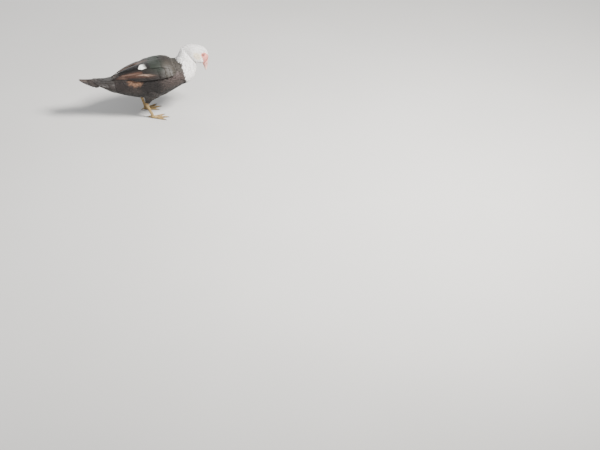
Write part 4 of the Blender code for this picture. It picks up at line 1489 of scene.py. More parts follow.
@dataclass
class Tail:
    """The fan of tail feathers, with the coverts over and under their roots."""

    pairs: int = 9
    root_x: float = -0.262 + MIDDLE_X
    root_z: float = 0.1958
    length: float = 0.090
    shorter: float = 0.052
    half_width: float = 0.036
    rise: float = 0.0145
    drop: float = 0.0120
    roots: tuple = (0.003, 0.024, 0.0105)
    tilt: float = 0.2
    sag: float = 0.002
    vane: float = 0.0165
    rings: int = 16

    def feather(self, maker: VaneMaker, k: int, side: int) -> None:
        """The k-th tail feather from the middle.

        Args:
            maker: of the feathers.
            k: its number, 0 in the middle.
            side: 1 on the left, -1 on the right.
        """
        share = k / (self.pairs - 1)
        length = self.length - self.shorter * share ** 1.4
        first, spread, fall = self.roots
        root = np.array([self.root_x, side * (first + spread * share), self.root_z - fall * share])
        tip = np.array([self.root_x - length, side * (0.004 + (self.half_width - 0.004) * share),
                        self.root_z + self.rise * length / self.length - self.drop * share])
        if k == 0 and side > 0:
            root[2] += 0.0010
            tip[2] += 0.0010
        along = np.linspace(0, 1, self.rings + 1)
        middle = between(root, tip, along[:, None])
        middle[:, 2] -= self.sag * np.sin(math.pi * along)
        # Partly painted sheen: the middle feathers along the fan's top ridge are lighter than the dark outer
        # ones.
        tint = between(srgb(42, 37, 36), srgb(110, 96, 88), 0.42 * (1 - ease(0.0, 0.25, share)))
        maker.in_space(middle, (side, -self.tilt), 1, self.vane / 2 * maker.outline(along, 0.10), 0.0006,
                       DUCK.bake_place(0.9, side * (8 + 70 * share)),
                       tint * np.linspace(1.1, 0.8, self.rings + 1)[:, None])

    def root_covert(self, maker: VaneMaker, share: float, side: int, over: int, row: int) -> None:
        """A short feather on the fan's root, over it or under it.

        Args:
            maker: of the feathers.
            share: its place from the middle, 0, to the edge, 1.
            side: 1 on the left, -1 on the right.
            over: 1 on top of the fan, -1 below it.
            row: 0 for the row that reaches furthest.
        """
        length = 0.052 - 0.020 * share ** 1.4 - 0.013 * row
        _, spread, fall = self.roots
        high = over * (0.0052 + 0.0012 * row)
        root = np.array([self.root_x - 0.002, side * (0.001 + (spread + 0.003) * share),
                         self.root_z + high - fall * share])
        climb = self.rise * length / self.length - 0.30 * self.drop * share - over * (0.0028 - 0.0010 * row)
        tip = root + (-length, side * 0.30 * (self.half_width - spread) * share, climb)
        along = np.linspace(0, 1, 11)
        turn = 8 + 70 * share if over > 0 else 172 - 70 * share
        maker.in_space(between(root, tip, along[:, None]), (side, -self.tilt), over,
                       0.0068 * maker.outline(along, 0.15), 0.0008, DUCK.bake_place(0.4, side * turn),
                       srgb(58, 51, 49) * np.linspace(0.8, 1.15, 11)[:, None])

    def covert_rows(self) -> list:
        """Rows of coverts over and under the feathers' roots, as tiers, each set off from the last."""
        rows = []
        for k, (start, reach) in enumerate(((1.75, 1.80), (2.10, 1.65), (2.45, 1.50), (2.80, 1.35))):
            lift = 0.0020 + 0.0005 * k
            off = 5.0 * (k % 2)
            for first, last in ((off + 2, 84), (96, 176 - off)):
                tips = (first * 0.92, last * 0.90) if last < 90 else (180 - (180 - first) * 0.9, last)
                ends = (start - reach - 0.1, start - reach + 0.55)
                ends = ends if last < 90 else ends[::-1]
                rows.append(Tier(6, ((start, first), (start, last)), tuple(zip(ends, tips)),
                                 (-0.001, lift, lift + 0.0006), 0.0160, 0.0004, camber=0.0009,
                                 taper=0.25, jitter=0.08))
        return rows

    def build(self, material: Material) -> Object:
        """The tail as one piece, which stands for the solid tail."""
        draft = Draft()
        maker = VaneMaker(draft, 70)
        for side in SIDES.values():
            for k in range(self.pairs):
                self.feather(maker, k, side)
            for row in range(2):
                for over in (1, -1):
                    for k in range(7):
                        self.root_covert(maker, (k + 0.5 * row) / 6.5, side, over, row)
            for tier in self.covert_rows():
                for k in range(tier.count):
                    maker.on_form(tier, k / (tier.count - 1), side, PLUMAGE)
        return settle(draft.build("tail_feathers", material), "plumage_tail", "tail")


@dataclass(frozen=True)
class HornFinish:
    """Horn or scaly skin, fine cells on the colour that the mesh carries."""

    name: str
    roughness: float
    cell: float                     # cells a metre
    depth: float                    # of the bump, in metres
    mottle: float = 0.10
    soft: float = 0.0               # share of light that passes into it
    coat: float = 0.0

    def make(self) -> Material:
        """Builds the material."""
        shader = Shader(self.name)
        patches = shader.ramp(shader.noise(180.0, 4.0), 0.25, 0.75, 1 - self.mottle, 1 + self.mottle)
        colour = shader.mix(1.0, shader.attribute("tint"), shader.grey(patches), "MULTIPLY")
        grain = shader.plus(shader.cells(self.cell), shader.times(shader.noise(1500.0), 0.7))
        rough = shader.ramp(shader.noise(420.0, 3.0), 0.3, 0.7, self.roughness - 0.06, self.roughness + 0.08)
        return shader.done(Base_Color=colour, Roughness=rough, Subsurface_Weight=self.soft,
                           Subsurface_Radius=(0.003, 0.0012, 0.0008), Coat_Weight=self.coat,
                           Coat_Roughness=0.25, Normal=shader.bump(grain, self.depth, 0.7))


@dataclass
class Bill:
    """The upper and lower bill, parted along the mouth, with nostrils, nail and lips."""

    form: Form = Form(BILL_STATIONS)
    mouth: tuple = ((0.2225, 0.2465), (0.2295, 0.2375), (0.2322, 0.2255), (0.2342, 0.2135),
                    (0.2368, 0.2035), (0.2402, 0.1945), (0.2408, 0.1895))
    gap: float = 0.0003
    nostril: tuple = (0.2432, 0.2330)
    nostril_size: tuple = (0.0018, 0.0042)
    tip: tuple = (0.2412, 0.1936)
    lower_tip: tuple = (0.2392, 0.1962)
    rows: int = 120
    columns: int = 73
    floor_columns: int = 15

    def lip_angle(self, station: Array) -> Array:
        """Degrees from the ridge at which the mouth's line crosses each cross-section.

        Args:
            station: of each cross-section.

        Returns:
            One angle a station.
        """
        tried = np.linspace(20, 176, 400)
        made = []
        for t in station:
            places = self.form.point(t, tried)
            line_x = np.interp(-places[:, 2], [-z for _, z in self.mouth], [x for x, _ in self.mouth])
            over = places[:, 0] - MIDDLE_X - line_x
            made.append(tried[np.argmax(over < 0)] if (over < 0).any() else 150.0)
        return np.convolve(np.pad(made, 4, mode="edge"), np.ones(9) / 9, "valid")

    def relief(self, points: Array, station: Array, degrees: Array, lip: Array, upper: bool) -> Array:
        """Height of lips, ridges, nostrils and nail over the form.

        Args:
            points: places on the bill.
            station: of each.
            degrees: of each.
            lip: degrees of the mouth's line at each.
            upper: whether they lie on the upper bill.

        Returns:
            One height a place.
        """
        from_lip = (lip - np.abs(degrees)) * (1 if upper else -1)
        height = 0.00045 * hump(from_lip, 3, 5.5) * ease(0.2, 1.2, station)
        height += 0.00010 * ripple(points, 0.006, 4) * ease(5.6, 4.6, station)
        if not upper:
            return height - 0.0005 * hump(np.abs(degrees), 180, 16) * ease(5, 4, station)
        height -= 0.00055 * hump(np.abs(degrees), 46, 13) * ease(0.2, 0.9, station) * ease(5.2, 3.8, station)
        height += 0.00030 * hump(degrees, 0, 20) * ease(5, 3, station)
        away = self.from_nostril(points)
        height += 0.00035 * hump(away, 1.15, 0.22) - 0.0017 * ease(1.02, 0.62, away)
        shield = np.hypot(degrees / 62, (station - 6.35) / 1.35)
        return height + 0.00060 * ease(1.0, 0.86, shield) - 0.00030 * hump(shield, 1.06, 0.07)

    def from_nostril(self, points: Array) -> Array:
        """Distance from the nostril's middle, 1 at its edge."""
        return np.hypot((points[:, 0] - MIDDLE_X - self.nostril[0]) / self.nostril_size[0],
                        (points[:, 2] - self.nostril[1]) / self.nostril_size[1])

    def outline(self, upper: bool) -> Array:
        """The rings of one half's outer side, from lip to lip."""
        narrow = 1.0 if upper else 0.88
        form = Form(tuple((*row[:4], row[4] * narrow, row[5]) for row in self.form.stations))
        along = np.linspace(-0.25, 6.0, self.rows)
        lip = self.lip_angle(along)
        share = np.linspace(-1, 1, self.columns)
        share = np.sign(share) * np.abs(share) ** 0.92
        degrees = share * lip[:, None] if upper else 180 + share * (180 - lip[:, None])
        degrees = np.where(degrees > 180, degrees - 360, degrees)
        station = np.repeat(along[:, None], self.columns, 1)
        flat = form.point(np.clip(station, 0, 6), degrees)
        flat = flat + np.maximum(-along, 0)[:, None, None] * np.array([-0.004, 0, 0.008])
        away = form.axes(np.clip(station, 0.06, 5.94), degrees)[0]
        height = self.relief(flat.reshape(-1, 3), station.ravel(), degrees.ravel(),
                             np.repeat(lip, self.columns), upper).reshape(station.shape)
        outer = flat + away * height[..., None]
        outer[..., 0] += (self.gap if upper else -self.gap) * ease(0.75, 1.0, np.abs(share))
        return outer

    def half(self, upper: bool, material: Material) -> Object:
        """One half of the bill.

        Args:
            upper: whether it is the upper one.
            material: its finish.

        Returns:
            The piece, riding on the body.
        """
        outer = self.outline(upper)
        share = np.linspace(0, 1, self.floor_columns + 2)[1:-1]
        inner = between(outer[:, -1:], outer[:, :1], share[None, :, None])
        inner[..., 0] += (0.0016 if upper else -0.0005) * np.sin(math.pi * share)
        rings = np.concatenate([outer, inner], 1)
        tip_x, tip_z = self.tip if upper else self.lower_tip
        point = np.array([tip_x + MIDDLE_X, 0, tip_z])
        last, middle = rings[-1], rings[-1].mean(0)
        rings = np.concatenate([rings, [
            middle + (point - middle) * math.sin(turn) + (last - middle) * math.cos(turn)
            for turn in np.linspace(0, 1, 12)[1:-1] * math.pi / 2]])
        rows, count = rings.shape[:2]
        points = np.concatenate([rings.reshape(-1, 3), [point, rings[0].mean(0)]])
        inside = np.append(np.tile(np.arange(count) >= self.columns, rows), (0, 1))
        name = "bill_upper" if upper else "bill_lower"
        mesh = new_mesh(name + "_skin", points, shell_faces(rows, count))
        return finish_piece(mesh, self.tint(points, inside), material, "bill", name)

    def tint(self, points: Array, inside: Array) -> Array:
        """Linear colour at each place: pink, redder at the root and the mouth, ivory at the tip.

        Args:
            points: places on the bill.
            inside: 1 on the mouth's side.

        Returns:
            One colour a row.
        """
        x, z = points[:, 0] - MIDDLE_X, points[:, 2]
        line_x = np.interp(-z, [-height for _, height in self.mouth], [ahead for ahead, _ in self.mouth])
        gape = hump(x, line_x, 0.0011) * ease(0.205, 0.222, z)
        nostril = ease(1.0, 0.6, self.from_nostril(points)) * (np.abs(points[:, 1]) > 0.006)
        made = srgb(226, 172, 160) * np.ones((len(points), 1))
        for colour, share in (
                ((206, 130, 122), ease(0.243, 0.256, z) * 0.6),
                ((238, 206, 188), ease(0.226, 0.206, z)),
                ((246, 236, 218), ease(0.2035, 0.1985, z)),
                ((196, 118, 112), 0.55 * hump(x, 0.2445, 0.0026) * hump(z, 0.222, 0.012)),
                ((148, 104, 100), 0.30 * ease(0.35, 1.1, ripple(points, 0.012, 8)) * ease(0.206, 0.215, z)),
                ((132, 52, 50), 0.75 * gape * (1 - inside)),
                # Painted shade: the nostril's shallow pit is painted dark, as the shade inside the opening.
                ((60, 26, 26), 0.9 * nostril),
                ((170, 92, 88), inside)):
            made = lay(made, colour, share)
        return made

    def build(self, material: Material) -> None:
        """Both halves of the bill, which stand for the solid ones."""
        for upper in (True, False):
            self.half(upper, material)


@dataclass(frozen=True)
class EyeFinish:
    """A wet eye whose colours lie on the mesh."""

    name: str = "eye"

    def make(self) -> Material:
        """Builds the material."""
        shader = Shader(self.name)
        return shader.done(Base_Color=shader.attribute("tint"), Roughness=0.12, Specular_IOR_Level=0.6,
                           Coat_Weight=1.0, Coat_Roughness=0.02)


@dataclass
class Eye:
    """One eyeball with its iris, pupil and bulging cornea, set in behind the lids."""

    side_name: str
    pupil: float = 0.0019
    iris: float = 0.0042
    bulge: float = 0.00035
    rings: int = 64
    columns: int = 96

    def build(self, material: Material) -> Object:
        """The eye, which stands for the solid one.

        Args:
            material: its finish.

        Returns:
            The piece, riding on the body.
        """
        place, out, ahead, up = HEAD_SHAPE.eye_axes(SIDES[self.side_name])
        radius = HEAD_SHAPE.ball
        centre = place - out * HEAD_SHAPE.sunk
        lean = np.linspace(0, 1, self.rings) ** 1.6 * math.pi
        turn = np.linspace(0, math.tau, self.columns, endpoint=False)
        flat = radius * np.sin(lean)
        height = radius * np.cos(lean) + self.bulge * ease(self.iris, 0, flat) * (lean < 1.5)
        rings = centre + height[1:-1, None, None] * out \
            + flat[1:-1, None, None] * (np.cos(turn)[:, None] * ahead + np.sin(turn)[:, None] * up)
        points = np.concatenate([rings.reshape(-1, 3), centre + height[[-1, 0], None] * out])
        away = np.append(np.repeat(flat[1:-1], self.columns), (0.0, 0.0))
        front = np.append(np.repeat(lean[1:-1] < 1.5, self.columns), (False, True))
        around = np.append(np.tile(turn, self.rings - 2), (0.0, 0.0))
        mesh = new_mesh("eyeball_" + self.side_name, points, shell_faces(self.rings - 2, self.columns))
        return finish_piece(mesh, self.tint(away, around, front), material, "eye", "eye_" + self.side_name)

    def tint(self, away: Array, around: Array, front: Array) -> Array:
        """Linear colour: black pupil, brown iris with paler rays, dark rim.

        Args:
            away: distance of each place from the eye's axis.
            around: its turn round the axis.
            front: whether it lies on the front half.

        Returns:
            One colour a row.
        """
        rays = 0.5 + 0.5 * np.sin(around * 37 + 1.3 * np.sin(around * 11)) * np.sin(around * 23 + 0.7)
        made = srgb(74, 48, 26) * np.ones((len(away), 1))
        made = lay(made, (118, 82, 42), 0.7 * rays * ease(self.pupil, 0.0030, away))
        made = lay(made, (38, 24, 16), ease(0.0034, 0.0041, away))
        made = lay(made, (3, 3, 4), ease(self.pupil + 0.00015, self.pupil - 0.0001, away))
        return np.where(front[:, None], made, srgb(60, 30, 26))


def beside(way: Array, spare: tuple) -> tuple:
    """Two unit vectors square to a way; the spare one stands in for up where the way is steep."""
    across = unit(np.cross(way, (0, 0, 1) if abs(way[2]) < 0.8 else spare))
    return across, np.cross(across, way)


@dataclass
class ScaledTube:
    """A rounded run of circles, with the scales that lie along it."""

    centres: Array
    radii: Array
    sides: int = 20
    flatten: float = 1.0
    steps: int = 6

    def dense(self) -> tuple:
        """Centres and radii at close steps, with round ends."""
        count = len(self.centres)
        at = np.linspace(0, count - 1, (count - 1) * self.steps + 1)
        centres = np.stack([np.interp(at, range(count), np.array(self.centres)[:, k]) for k in range(3)], -1)
        radii = np.interp(at, range(count), self.radii)
        for _ in range(3):
            centres[1:-1] = (centres[:-2] + 2 * centres[1:-1] + centres[2:]) / 4
            radii[1:-1] = (radii[:-2] + 2 * radii[1:-1] + radii[2:]) / 4
        return centres, radii

    def add_to(self, net: bmesh.types.BMesh, blunt: float = 0.0) -> None:
        """Adds the tube as a closed shape.

        Args:
            net: that takes it.
            blunt: how far its round ends reach, in radii.
        """
        centres, radii = self.dense()
        first, last = unit(centres[0] - centres[1]), unit(centres[-1] - centres[-2])
        caps = [(math.sin(a) * blunt, math.cos(a)) for a in (1.35, 0.95, 0.5)] if blunt else []
        before = [(centres[0] + first * radii[0] * out, radii[0] * wide) for out, wide in caps]
        after = [(centres[-1] + last * radii[-1] * out, radii[-1] * wide) for out, wide in caps[::-1]]
        line = before + list(zip(centres, radii)) + after
        turns = np.linspace(0, math.tau, self.sides, endpoint=False)
        rings = []
        for k, (centre, radius) in enumerate(line):
            along = unit(line[min(k + 1, len(line) - 1)][0] - line[max(k - 1, 0)][0])
            across, over = beside(along, (1, 0, 0))
            rings.append([net.verts.new(centre + across * math.cos(turn) * radius * self.flatten
                                        + over * math.sin(turn) * radius) for turn in turns])
        for low, high in zip(rings, rings[1:]):
            for k in range(self.sides):
                j = (k + 1) % self.sides
                net.faces.new((low[k], low[j], high[j], high[k]))
        net.faces.new(rings[0][::-1])
        net.faces.new(rings[-1])

    def near(self, points: Array) -> tuple:
        """Where points lie by the tube.

        Args:
            points: places, one a row.

        Returns:
            Distance over the tube's radius, metres along it and turn round it, one of each a point.
        """
        centres, radii = self.dense()
        best = np.full(len(points), 9.0)
        along, turn = np.zeros(len(points)), np.zeros(len(points))
        run = 0.0
        for here, there, radius in zip(centres, centres[1:], radii):
            length = np.linalg.norm(there - here)
            way = (there - here) / length
            share = np.clip((points - here) @ way, 0, length)
            off = points - here - share[:, None] * way
            gap = np.linalg.norm(off, axis=1) / radius
            across, over = beside(way, (0, 1, 0))
            closer = gap < best
            best[closer] = gap[closer]
            along[closer] = run + share[closer]
            turn[closer] = np.arctan2(off[closer] @ over, off[closer] @ across)
            run += length
        return best, along, turn


@dataclass
class Leg:
    """A bare shank and webbed foot as one scaly skin, with its four claws."""

    side_name: str
    shank_radius: float = 0.0062
    hock_radius: float = 0.0088
    foot: tuple = (-0.040, 0.048, 0.0140)
    strides: tuple = (("right", 0.012), ("left", -0.006))
    toe_turn: float = 8.0
    toes: tuple = (("inner", -27.0, 0.058), ("middle", 0.0, 0.070), ("outer", 24.0, 0.062))
    toe_radius: float = 0.0044
    toe_reach: tuple = (0.0, 0.18, 0.38, 0.50, 0.68, 0.80, 1.0)
    toe_rise: tuple = (0.0068, 0.0048, 0.0037, 0.0040, 0.0030, 0.0033, 0.0026)
    toe_widths: tuple = (1.30, 1.05, 0.84, 1.0, 0.76, 0.86, 0.59)
    hind_turn: float = 0.5
    hind_turn: float = 0.5
    hind: tuple = ((0, 0.0085), (0.010, 0.0080), (0.017, 0.0062))     # reach and height
    web: float = 0.0012
    grain: float = 0.00072

    def __post_init__(self) -> None:
        """Works out its side and the place under its ankle."""
        self.side = SIDES[self.side_name]
        self.ankle = self.line()[3] * (1, 1, 0)

    def line(self) -> tuple:
        """Thigh's end, its downward axis, the hock and the foot's top."""
        _, end, down = Thigh(self.side_name).line()
        foot = self.foot + np.array([dict(self.strides)[self.side_name], 0, 0])
        return end, down, end + down * 0.010, foot * (1, self.side, 1) + (MIDDLE_X, 0, 0)

    def heading(self, degrees: float) -> Array:
        """The level direction of a toe, turned out by that much."""
        turn = math.radians(self.side * (degrees + self.toe_turn))
        return np.array([math.cos(turn), math.sin(turn), 0])

    def shank(self) -> ScaledTube:
        """From the thigh's feathers over the hock to the foot."""
        end, down, hock, foot = self.line()
        shin = unit(foot - hock)
        line = [end - down * 0.004, end + down * 0.0045, hock - down * 0.001, hock + shin * 0.006,
                hock + shin * 0.014, hock + (foot - hock) * 0.62, foot + (0, 0, 0.004), foot - (0, 0, 0.004),
                foot * (1, 1, 0) + (0.001, 0, 0.003)]
        r, h = self.shank_radius, self.hock_radius
        return ScaledTube(np.array(line), np.array([r, r * 1.05, h, h * 0.93, r * 1.05, r * 0.92, r * 1.1,
                                                    r * 1.12, r * 1.1]), 28, 0.84)

    def toe_lines(self) -> dict:
        """The three front toes and the hind one by name."""
        made = {}
        for name, degrees, length in self.toes:
            centres = [self.ankle + self.heading(degrees) * length * reach + (0, 0, rise)
                       for reach, rise in zip(self.toe_reach, self.toe_rise)]
            made[name] = ScaledTube(np.array(centres), self.toe_radius * np.array(self.toe_widths), 18)
        back = np.array([-math.cos(self.hind_turn), -math.sin(self.side * self.hind_turn), 0])
        centres = [self.ankle + back * reach + (0, 0, rise) for reach, rise in self.hind]
        made["hind"] = ScaledTube(np.array(centres), np.array([0.0040, 0.0032, 0.0022]), 16)
        return made

    def web_place(self, first: int, share: Array, reach: Array) -> Array:
        """Places in the web between two neighbouring toes.

        Args:
            first: number of the toe that it starts from.
            share: of the way to the next toe.
            reach: from the foot, 0, to the web's edge, 1.

        Returns:
            One place a row.
        """
        ends = [self.heading(degrees) * length for _, degrees, length in self.toes[first:first + 2]]
        out = (0.12 + 0.81 * reach) * (1 - 0.17 * np.sin(math.pi * share) * reach ** 0.5)
        flat = between(*ends, share[:, None]) * out[:, None]
        rise = 0.0020 - 0.0005 * np.sin(math.pi * share) \
            + 0.00022 * np.sin(share * math.pi * 7) * np.sin(math.pi * share) * reach
        return self.ankle + flat + rise[:, None] * np.array([0, 0, 1])

    def add_web(self, net: bmesh.types.BMesh, first: int) -> None:
        """Adds the web between two neighbouring toes as a closed sheet.

        Args:
            net: that takes it.
            first: number of the toe that it starts from.
        """
        rows, columns = 40, 30
        reach, share = np.meshgrid(np.linspace(0, 1, rows), np.linspace(0, 1, columns), indexing="ij")
        top = self.web_place(first, share.ravel(), reach.ravel())
        upper = [net.verts.new(place) for place in top]
        under = [net.verts.new(place) for place in top - (0, 0, self.web)]
        flip = self.side < 0
        for sheet, turn in ((upper, flip), (under, not flip)):
            for row in range(0, (rows - 1) * columns, columns):
                for k in range(row, row + columns - 1):
                    corners = [sheet[k], sheet[k + columns], sheet[k + columns + 1], sheet[k + 1]]
                    net.faces.new(corners[::-1] if turn else corners)
        edge = [r * columns for r in range(rows)] + [(rows - 1) * columns + k for k in range(1, columns)] \
            + [r * columns + columns - 1 for r in range(rows - 2, -1, -1)] + list(range(columns - 2, 0, -1))
        for here, there in zip(edge, edge[1:] + edge[:1]):
            corners = [upper[here], under[here], under[there], upper[there]]
            net.faces.new(corners if flip else corners[::-1])

    def fused(self) -> Mesh:
        """All tubes and webs fused into one fine skin."""
        net = bmesh.new()
        self.shank().add_to(net)
        for toe in self.toe_lines().values():
            toe.add_to(net, 0.6)
        for first in (0, 1):
            self.add_web(net, first)
        rough = place_object("rough_leg", net_mesh("rough_leg", net))
        remesh = rough.modifiers.new("fuse", "REMESH")
        remesh.mode, remesh.voxel_size = "VOXEL", self.grain
        smooth = rough.modifiers.new("smooth", "SMOOTH")
        smooth.factor, smooth.iterations = 0.5, 4
        made = evaluated(rough)
        bpy.data.objects.remove(rough)
        return made

    def scales(self, points: Array, out: Array) -> tuple:
        """The scales: plates on the front of shank and toes, small hexagons elsewhere.

        Args:
            points: places on the leg.
            out: the normal at each.

        Returns:
            Height and share of groove at each point, and its distance from the nearest tube in radii.
        """
        height, groove = np.zeros(len(points)), np.zeros(len(points))
        best = np.full(len(points), 1.35)
        shank_front = ease(0.25, 0.65, out[:, 0] * 0.9 + out[:, 2] * 0.3)
        toe_front = ease(0.15, 0.55, out[:, 2])
        kinds = [(self.shank(), shank_front, 0.0027, 0.006)]
        kinds += [(toe, toe_front, 0.0023, 0.004) for toe in self.toe_lines().values()]
        for tube, front, pitch, radius in kinds:
            gap, along, turn = tube.near(points)
            mine = gap < best
            best = np.where(mine, gap, best)
            band = 1 - np.abs(2 * ((along / pitch + 0.08 * np.sin(turn * 3)) % 1) - 1) ** 6
            u, v = along / 0.0019, turn * radius / 0.0019
            hexes = sum(np.cos(math.tau * way) for way in (u, u / 2 + v * 0.866, u / 2 - v * 0.866)) / 3
            made = 0.00036 * band * front + 0.00020 * np.maximum(hexes, -0.4) * (1 - front)
            cut = (1 - band) * front + ease(0.0, -0.35, hexes) * (1 - front)
            height, groove = np.where(mine, made, height), np.where(mine, cut, groove)
        return height, groove, best

    def build(self, skin: Material, horn: Material) -> None:
        """The leg's skin and its claws, which stand for the solid ones.

        Args:
            skin: finish of the scaly skin.
            horn: finish of the claws.
        """
        mesh = self.fused()
        points = read(mesh.vertices, "co", 3).astype(float)
        out = read(mesh.vertex_normals, "vector", 3).astype(float)
        height, groove, best = self.scales(points, out)
        points += out * height[:, None]
        points[:, 2] = np.maximum(points[:, 2], 0.0002)
        mesh.vertices.foreach_set("co", points.astype(np.float32).ravel())
        name = self.side_name
        mesh.name = "leg_skin_" + name
        finish_piece(mesh, self.tint(points, out, groove, best), skin, "leg_skin", "shank_" + name,
                     "foot_" + name)
        for toe, tube in self.toe_lines().items():
            self.claw(toe, tube, horn)

    def tint(self, points: Array, out: Array, groove: Array, best: Array) -> Array:
        """Linear colour: dull yellow scales, dark grooves, greyer webs, and darker where the skin faces
        down.

        Args:
            points: places on the leg.
            out: the normal at each.
            groove: share of groove at each.
            best: distance from the nearest tube in radii.

        Returns:
            One colour a row.
        """
        made = srgb(158, 132, 84) * np.ones((len(points), 1))
        web = ease(1.05, 1.32, best) * (points[:, 2] < 0.02)
        blotch = ease(0.2, 1.2, ripple(points, 0.022, 5 + self.side))
        for colour, share in (((132, 104, 66), web * 0.75), ((110, 84, 56), blotch * 0.55),
                              ((104, 84, 60), ease(-0.3, -0.8, out[:, 2]) * 0.6),
                              ((78, 58, 38), groove * 0.6),
                              ((150, 118, 80), ease(0.066, 0.080, points[:, 2]) * 0.4)):
            made = lay(made, colour, np.clip(share, 0, 1))
        return made

    def claw(self, toe: str, tube: ScaledTube, horn: Material) -> None:
        """A curved claw out of a toe's end.

        Args:
            toe: its name.
            tube: its flesh.
            horn: the claw's finish.
        """
        before, root = tube.centres[-2:]
        way = unit(root - before)
        ahead = unit(way * (1, 1, 0))
        share = np.linspace(0, 1, 16)
        reach = 0.0008 + 0.0105 * np.sin(share * 1.15) / math.sin(1.15)
        radii = 0.0020 * (1 - 0.86 * share) * (1 + 0.10 * np.sin(share * math.pi))
        centres = root + ahead * reach[:, None]
        centres[:, 2] = np.maximum(root[2] - 0.00315 * share ** 2, radii + 0.0005)
        centres = np.concatenate([[root - way * 0.0012], centres])
        net = bmesh.new()
        ScaledTube(centres, np.append(0.0018, radii), 20, 0.8, 2).add_to(net, 0.8)
        name = f"{self.side_name}_{toe}"
        mesh = net_mesh("claw_horn_" + name, net)
        along = (read(mesh.vertices, "co", 3) - root) @ ahead / 0.0113
        tint = srgb(70, 58, 48) * (1 - 0.5 * ease(0.2, 0.8, along))[:, None] \
            + srgb(150, 124, 92) * (0.5 * ease(0.15, -0.1, along))[:, None]
        finish_piece(mesh, tint, horn, "claw", "claw_" + name)


@dataclass(frozen=True)
class Studio:
    """Plain pale floor, soft light and the camera at the photograph's angle and framing."""

    focal: float = 1701.4           # in pixels, for an image 600 wide
    image: tuple = (600, 450)
    aim: tuple = (0.05025, 0.0, 0.185)
    pixel: tuple = (155.0, 77.0)    # where the aim shows
    azimuth: float = -8.0
    elevation: float = 26.0
    distance: float = 7.924
    sensor: float = 36.0

    def floor(self) -> None:
        """A wide, pale, matt floor."""
        net = bmesh.new()
        bmesh.ops.create_grid(net, x_segments=8, y_segments=8, size=30.0)
        mesh = net_mesh("floor", net)
        shader = Shader("floor")
        tone = shader.ramp(shader.noise(1.2, 2.0), 0.2, 0.8)
        colour = shader.mix(tone, (0.57, 0.56, 0.54, 1), (0.60, 0.59, 0.57, 1))
        mesh.materials.append(shader.done(Base_Color=colour, Roughness=0.9, Specular_IOR_Level=0.2))
        place_object("floor", mesh)

    def lamp(self, name: str, place: tuple, target: tuple, size: float, power: float, colour: tuple) -> None:
        """One soft square lamp.

        Args:
            name: its name.
            place: where it hangs.
            target: what it shines on.
            size: length of its edge.
            power: in watts.
            colour: of its light.
        """
        data = bpy.data.lights.new(name, "AREA")
        data.size, data.energy, data.color = size, power, colour
        lamp = bpy.data.objects.new(name, data)
        lamp.location = place
        lamp.rotation_euler = (Vector(target) - Vector(place)).to_track_quat("-Z", "Y").to_euler()
        bpy.context.scene.collection.objects.link(lamp)

    def lights(self) -> None:
        """A key lamp from the upper right, a fill from the left and a pale sky."""
        middle = (0.05, 0.0, 0.15)
        self.lamp("key", (1.6, -1.5, 2.6), middle, 0.9, 310, (1.0, 0.98, 0.95))
        self.lamp("fill", (-2.2, -1.6, 1.6), middle, 2.0, 26, (0.95, 0.97, 1.0))
        self.lamp("rim", (-0.6, 2.4, 2.2), middle, 1.6, 36, (1.0, 1.0, 1.0))
        world = bpy.data.worlds.new("studio")
        world.use_nodes = True
        back = world.node_tree.nodes["Background"]
        back.inputs["Color"].default_value = (0.92, 0.95, 1.0, 1.0)
        back.inputs["Strength"].default_value = 0.42
        bpy.context.scene.world = world

    def camera(self) -> None:
        """The camera, turned so that the aim shows at its pixel and the horizon stays level."""
        az, el = math.radians(self.azimuth), math.radians(self.elevation)
        back = Vector((math.sin(az) * math.cos(el), -math.cos(az) * math.cos(el), math.sin(el)))
        across, up = self.pixel[0] - self.image[0] / 2, self.image[1] / 2 - self.pixel[1]
        ray = Vector((across, up, -self.focal)).normalized()
        pitch = math.asin(-back.z / math.hypot(ray.y, ray.z)) + math.atan2(-ray.z, ray.y)
        tilted = Matrix.Rotation(pitch, 3, "X") @ ray
        yaw = math.atan2(-back.y, -back.x) - math.atan2(tilted.y, tilted.x)
        data = bpy.data.cameras.new("camera")
        data.sensor_width = self.sensor
        data.lens = self.focal * self.sensor / self.image[0]
        data.clip_end = 60.0
        camera = bpy.data.objects.new("camera", data)
        camera.location = Vector(self.aim) + back * self.distance
        camera.rotation_euler = (pitch, 0, yaw)
        bpy.context.scene.collection.objects.link(camera)
        bpy.context.scene.camera = camera


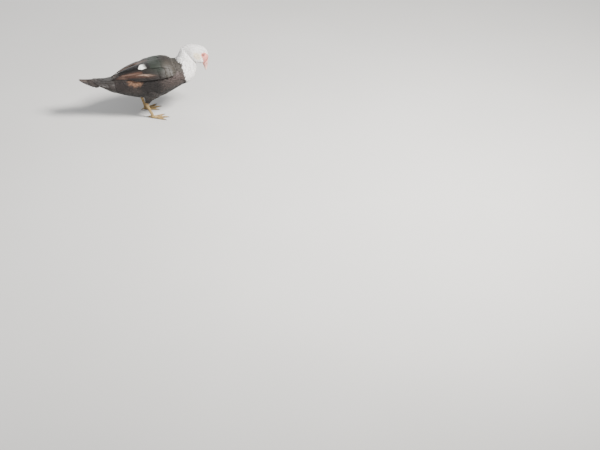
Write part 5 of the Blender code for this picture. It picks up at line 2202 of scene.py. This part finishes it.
WHITE, DARK, ROUND = "plumage_white", "plumage_dark", (-180, 180)
COAT_REGIONS = (
    CoatRegion("head_feathers", WHITE, Kind.HEAD, (15.2, 23.5), ROUND, 0.00155, 1.0, 1, 0.002),
    CoatRegion("neck_feathers", WHITE, Kind.NECK, (12.4, 15.2), ROUND, 0.0024, 0.86, 2, 0.003),
    CoatRegion("bib_feathers", WHITE, Kind.NECK, (9.6, 12.4), ROUND, 0.0036, 1.25, 3),
    CoatRegion("breast_feathers", DARK, Kind.BODY, (7.6, 9.6), ROUND, 0.0056, 0.80, 4),
    CoatRegion("back_feathers", DARK, Kind.BODY, (2.7, 7.6), (-46, 46), 0.0066, 0.95, 5),
    CoatRegion("flank_feathers_left", DARK, Kind.BODY, (2.7, 7.6), (45, 116), 0.0062, 0.95, 6),
    CoatRegion("flank_feathers_right", DARK, Kind.BODY, (2.7, 7.6), (-116, -45), 0.0062, 0.95, 7),
    CoatRegion("belly_feathers", DARK, Kind.BODY, (2.7, 7.6), (115, 245), 0.0064, 0.92, 8),
    CoatRegion("rump_feathers", DARK, Kind.BODY, (0.6, 2.7), ROUND, 0.0060, 0.85, 9),
)


def main() -> None:
    """Builds the duck's pieces in order and sets the studio."""
    logging.basicConfig(level=logging.INFO, format="%(name)s: %(message)s")
    studio = Studio()
    studio.floor()
    studio.lights()
    studio.camera()
    plumage = FeatherFinish("plumage").make()
    thighs = [Thigh(name) for name in SIDES]
    Skin().build(SkinFinish().make(), thighs)
    tree = CoatTree()
    feathers = {kind: Feather(kind).build() for kind in Kind}
    for region in COAT_REGIONS:
        region.build(tree, feathers[region.kind], plumage)
    for thigh in thighs:
        thigh.coat(tree, feathers[Kind.DOWN], plumage)
    for vane in feathers.values():
        bpy.data.objects.remove(vane)
    wing_finish = FeatherFinish("wing_plumage", roughness=0.45, barbs=70.0, fringe=0.30, gloss=0.05,
                                gloss_tint=(0.88, 1.0, 0.90, 1.0)).make()
    for name in SIDES:
        Wing(name).build(wing_finish)
    Tail().build(wing_finish)
    Bill().build(HornFinish("bill_horn", 0.40, 1500.0, 0.00010, soft=0.12, coat=0.15).make())
    eye_finish = EyeFinish().make()
    for name in SIDES:
        Eye(name).build(eye_finish)
    leg_finish = HornFinish("leg_scales", 0.52, 900.0, 0.00016, mottle=0.16, soft=0.05).make()
    claw_finish = HornFinish("claw_horn", 0.38, 700.0, 0.00006, mottle=0.18).make()
    for name in SIDES:
        Leg(name).build(leg_finish, claw_finish)


if __name__ == "__main__":
    main()
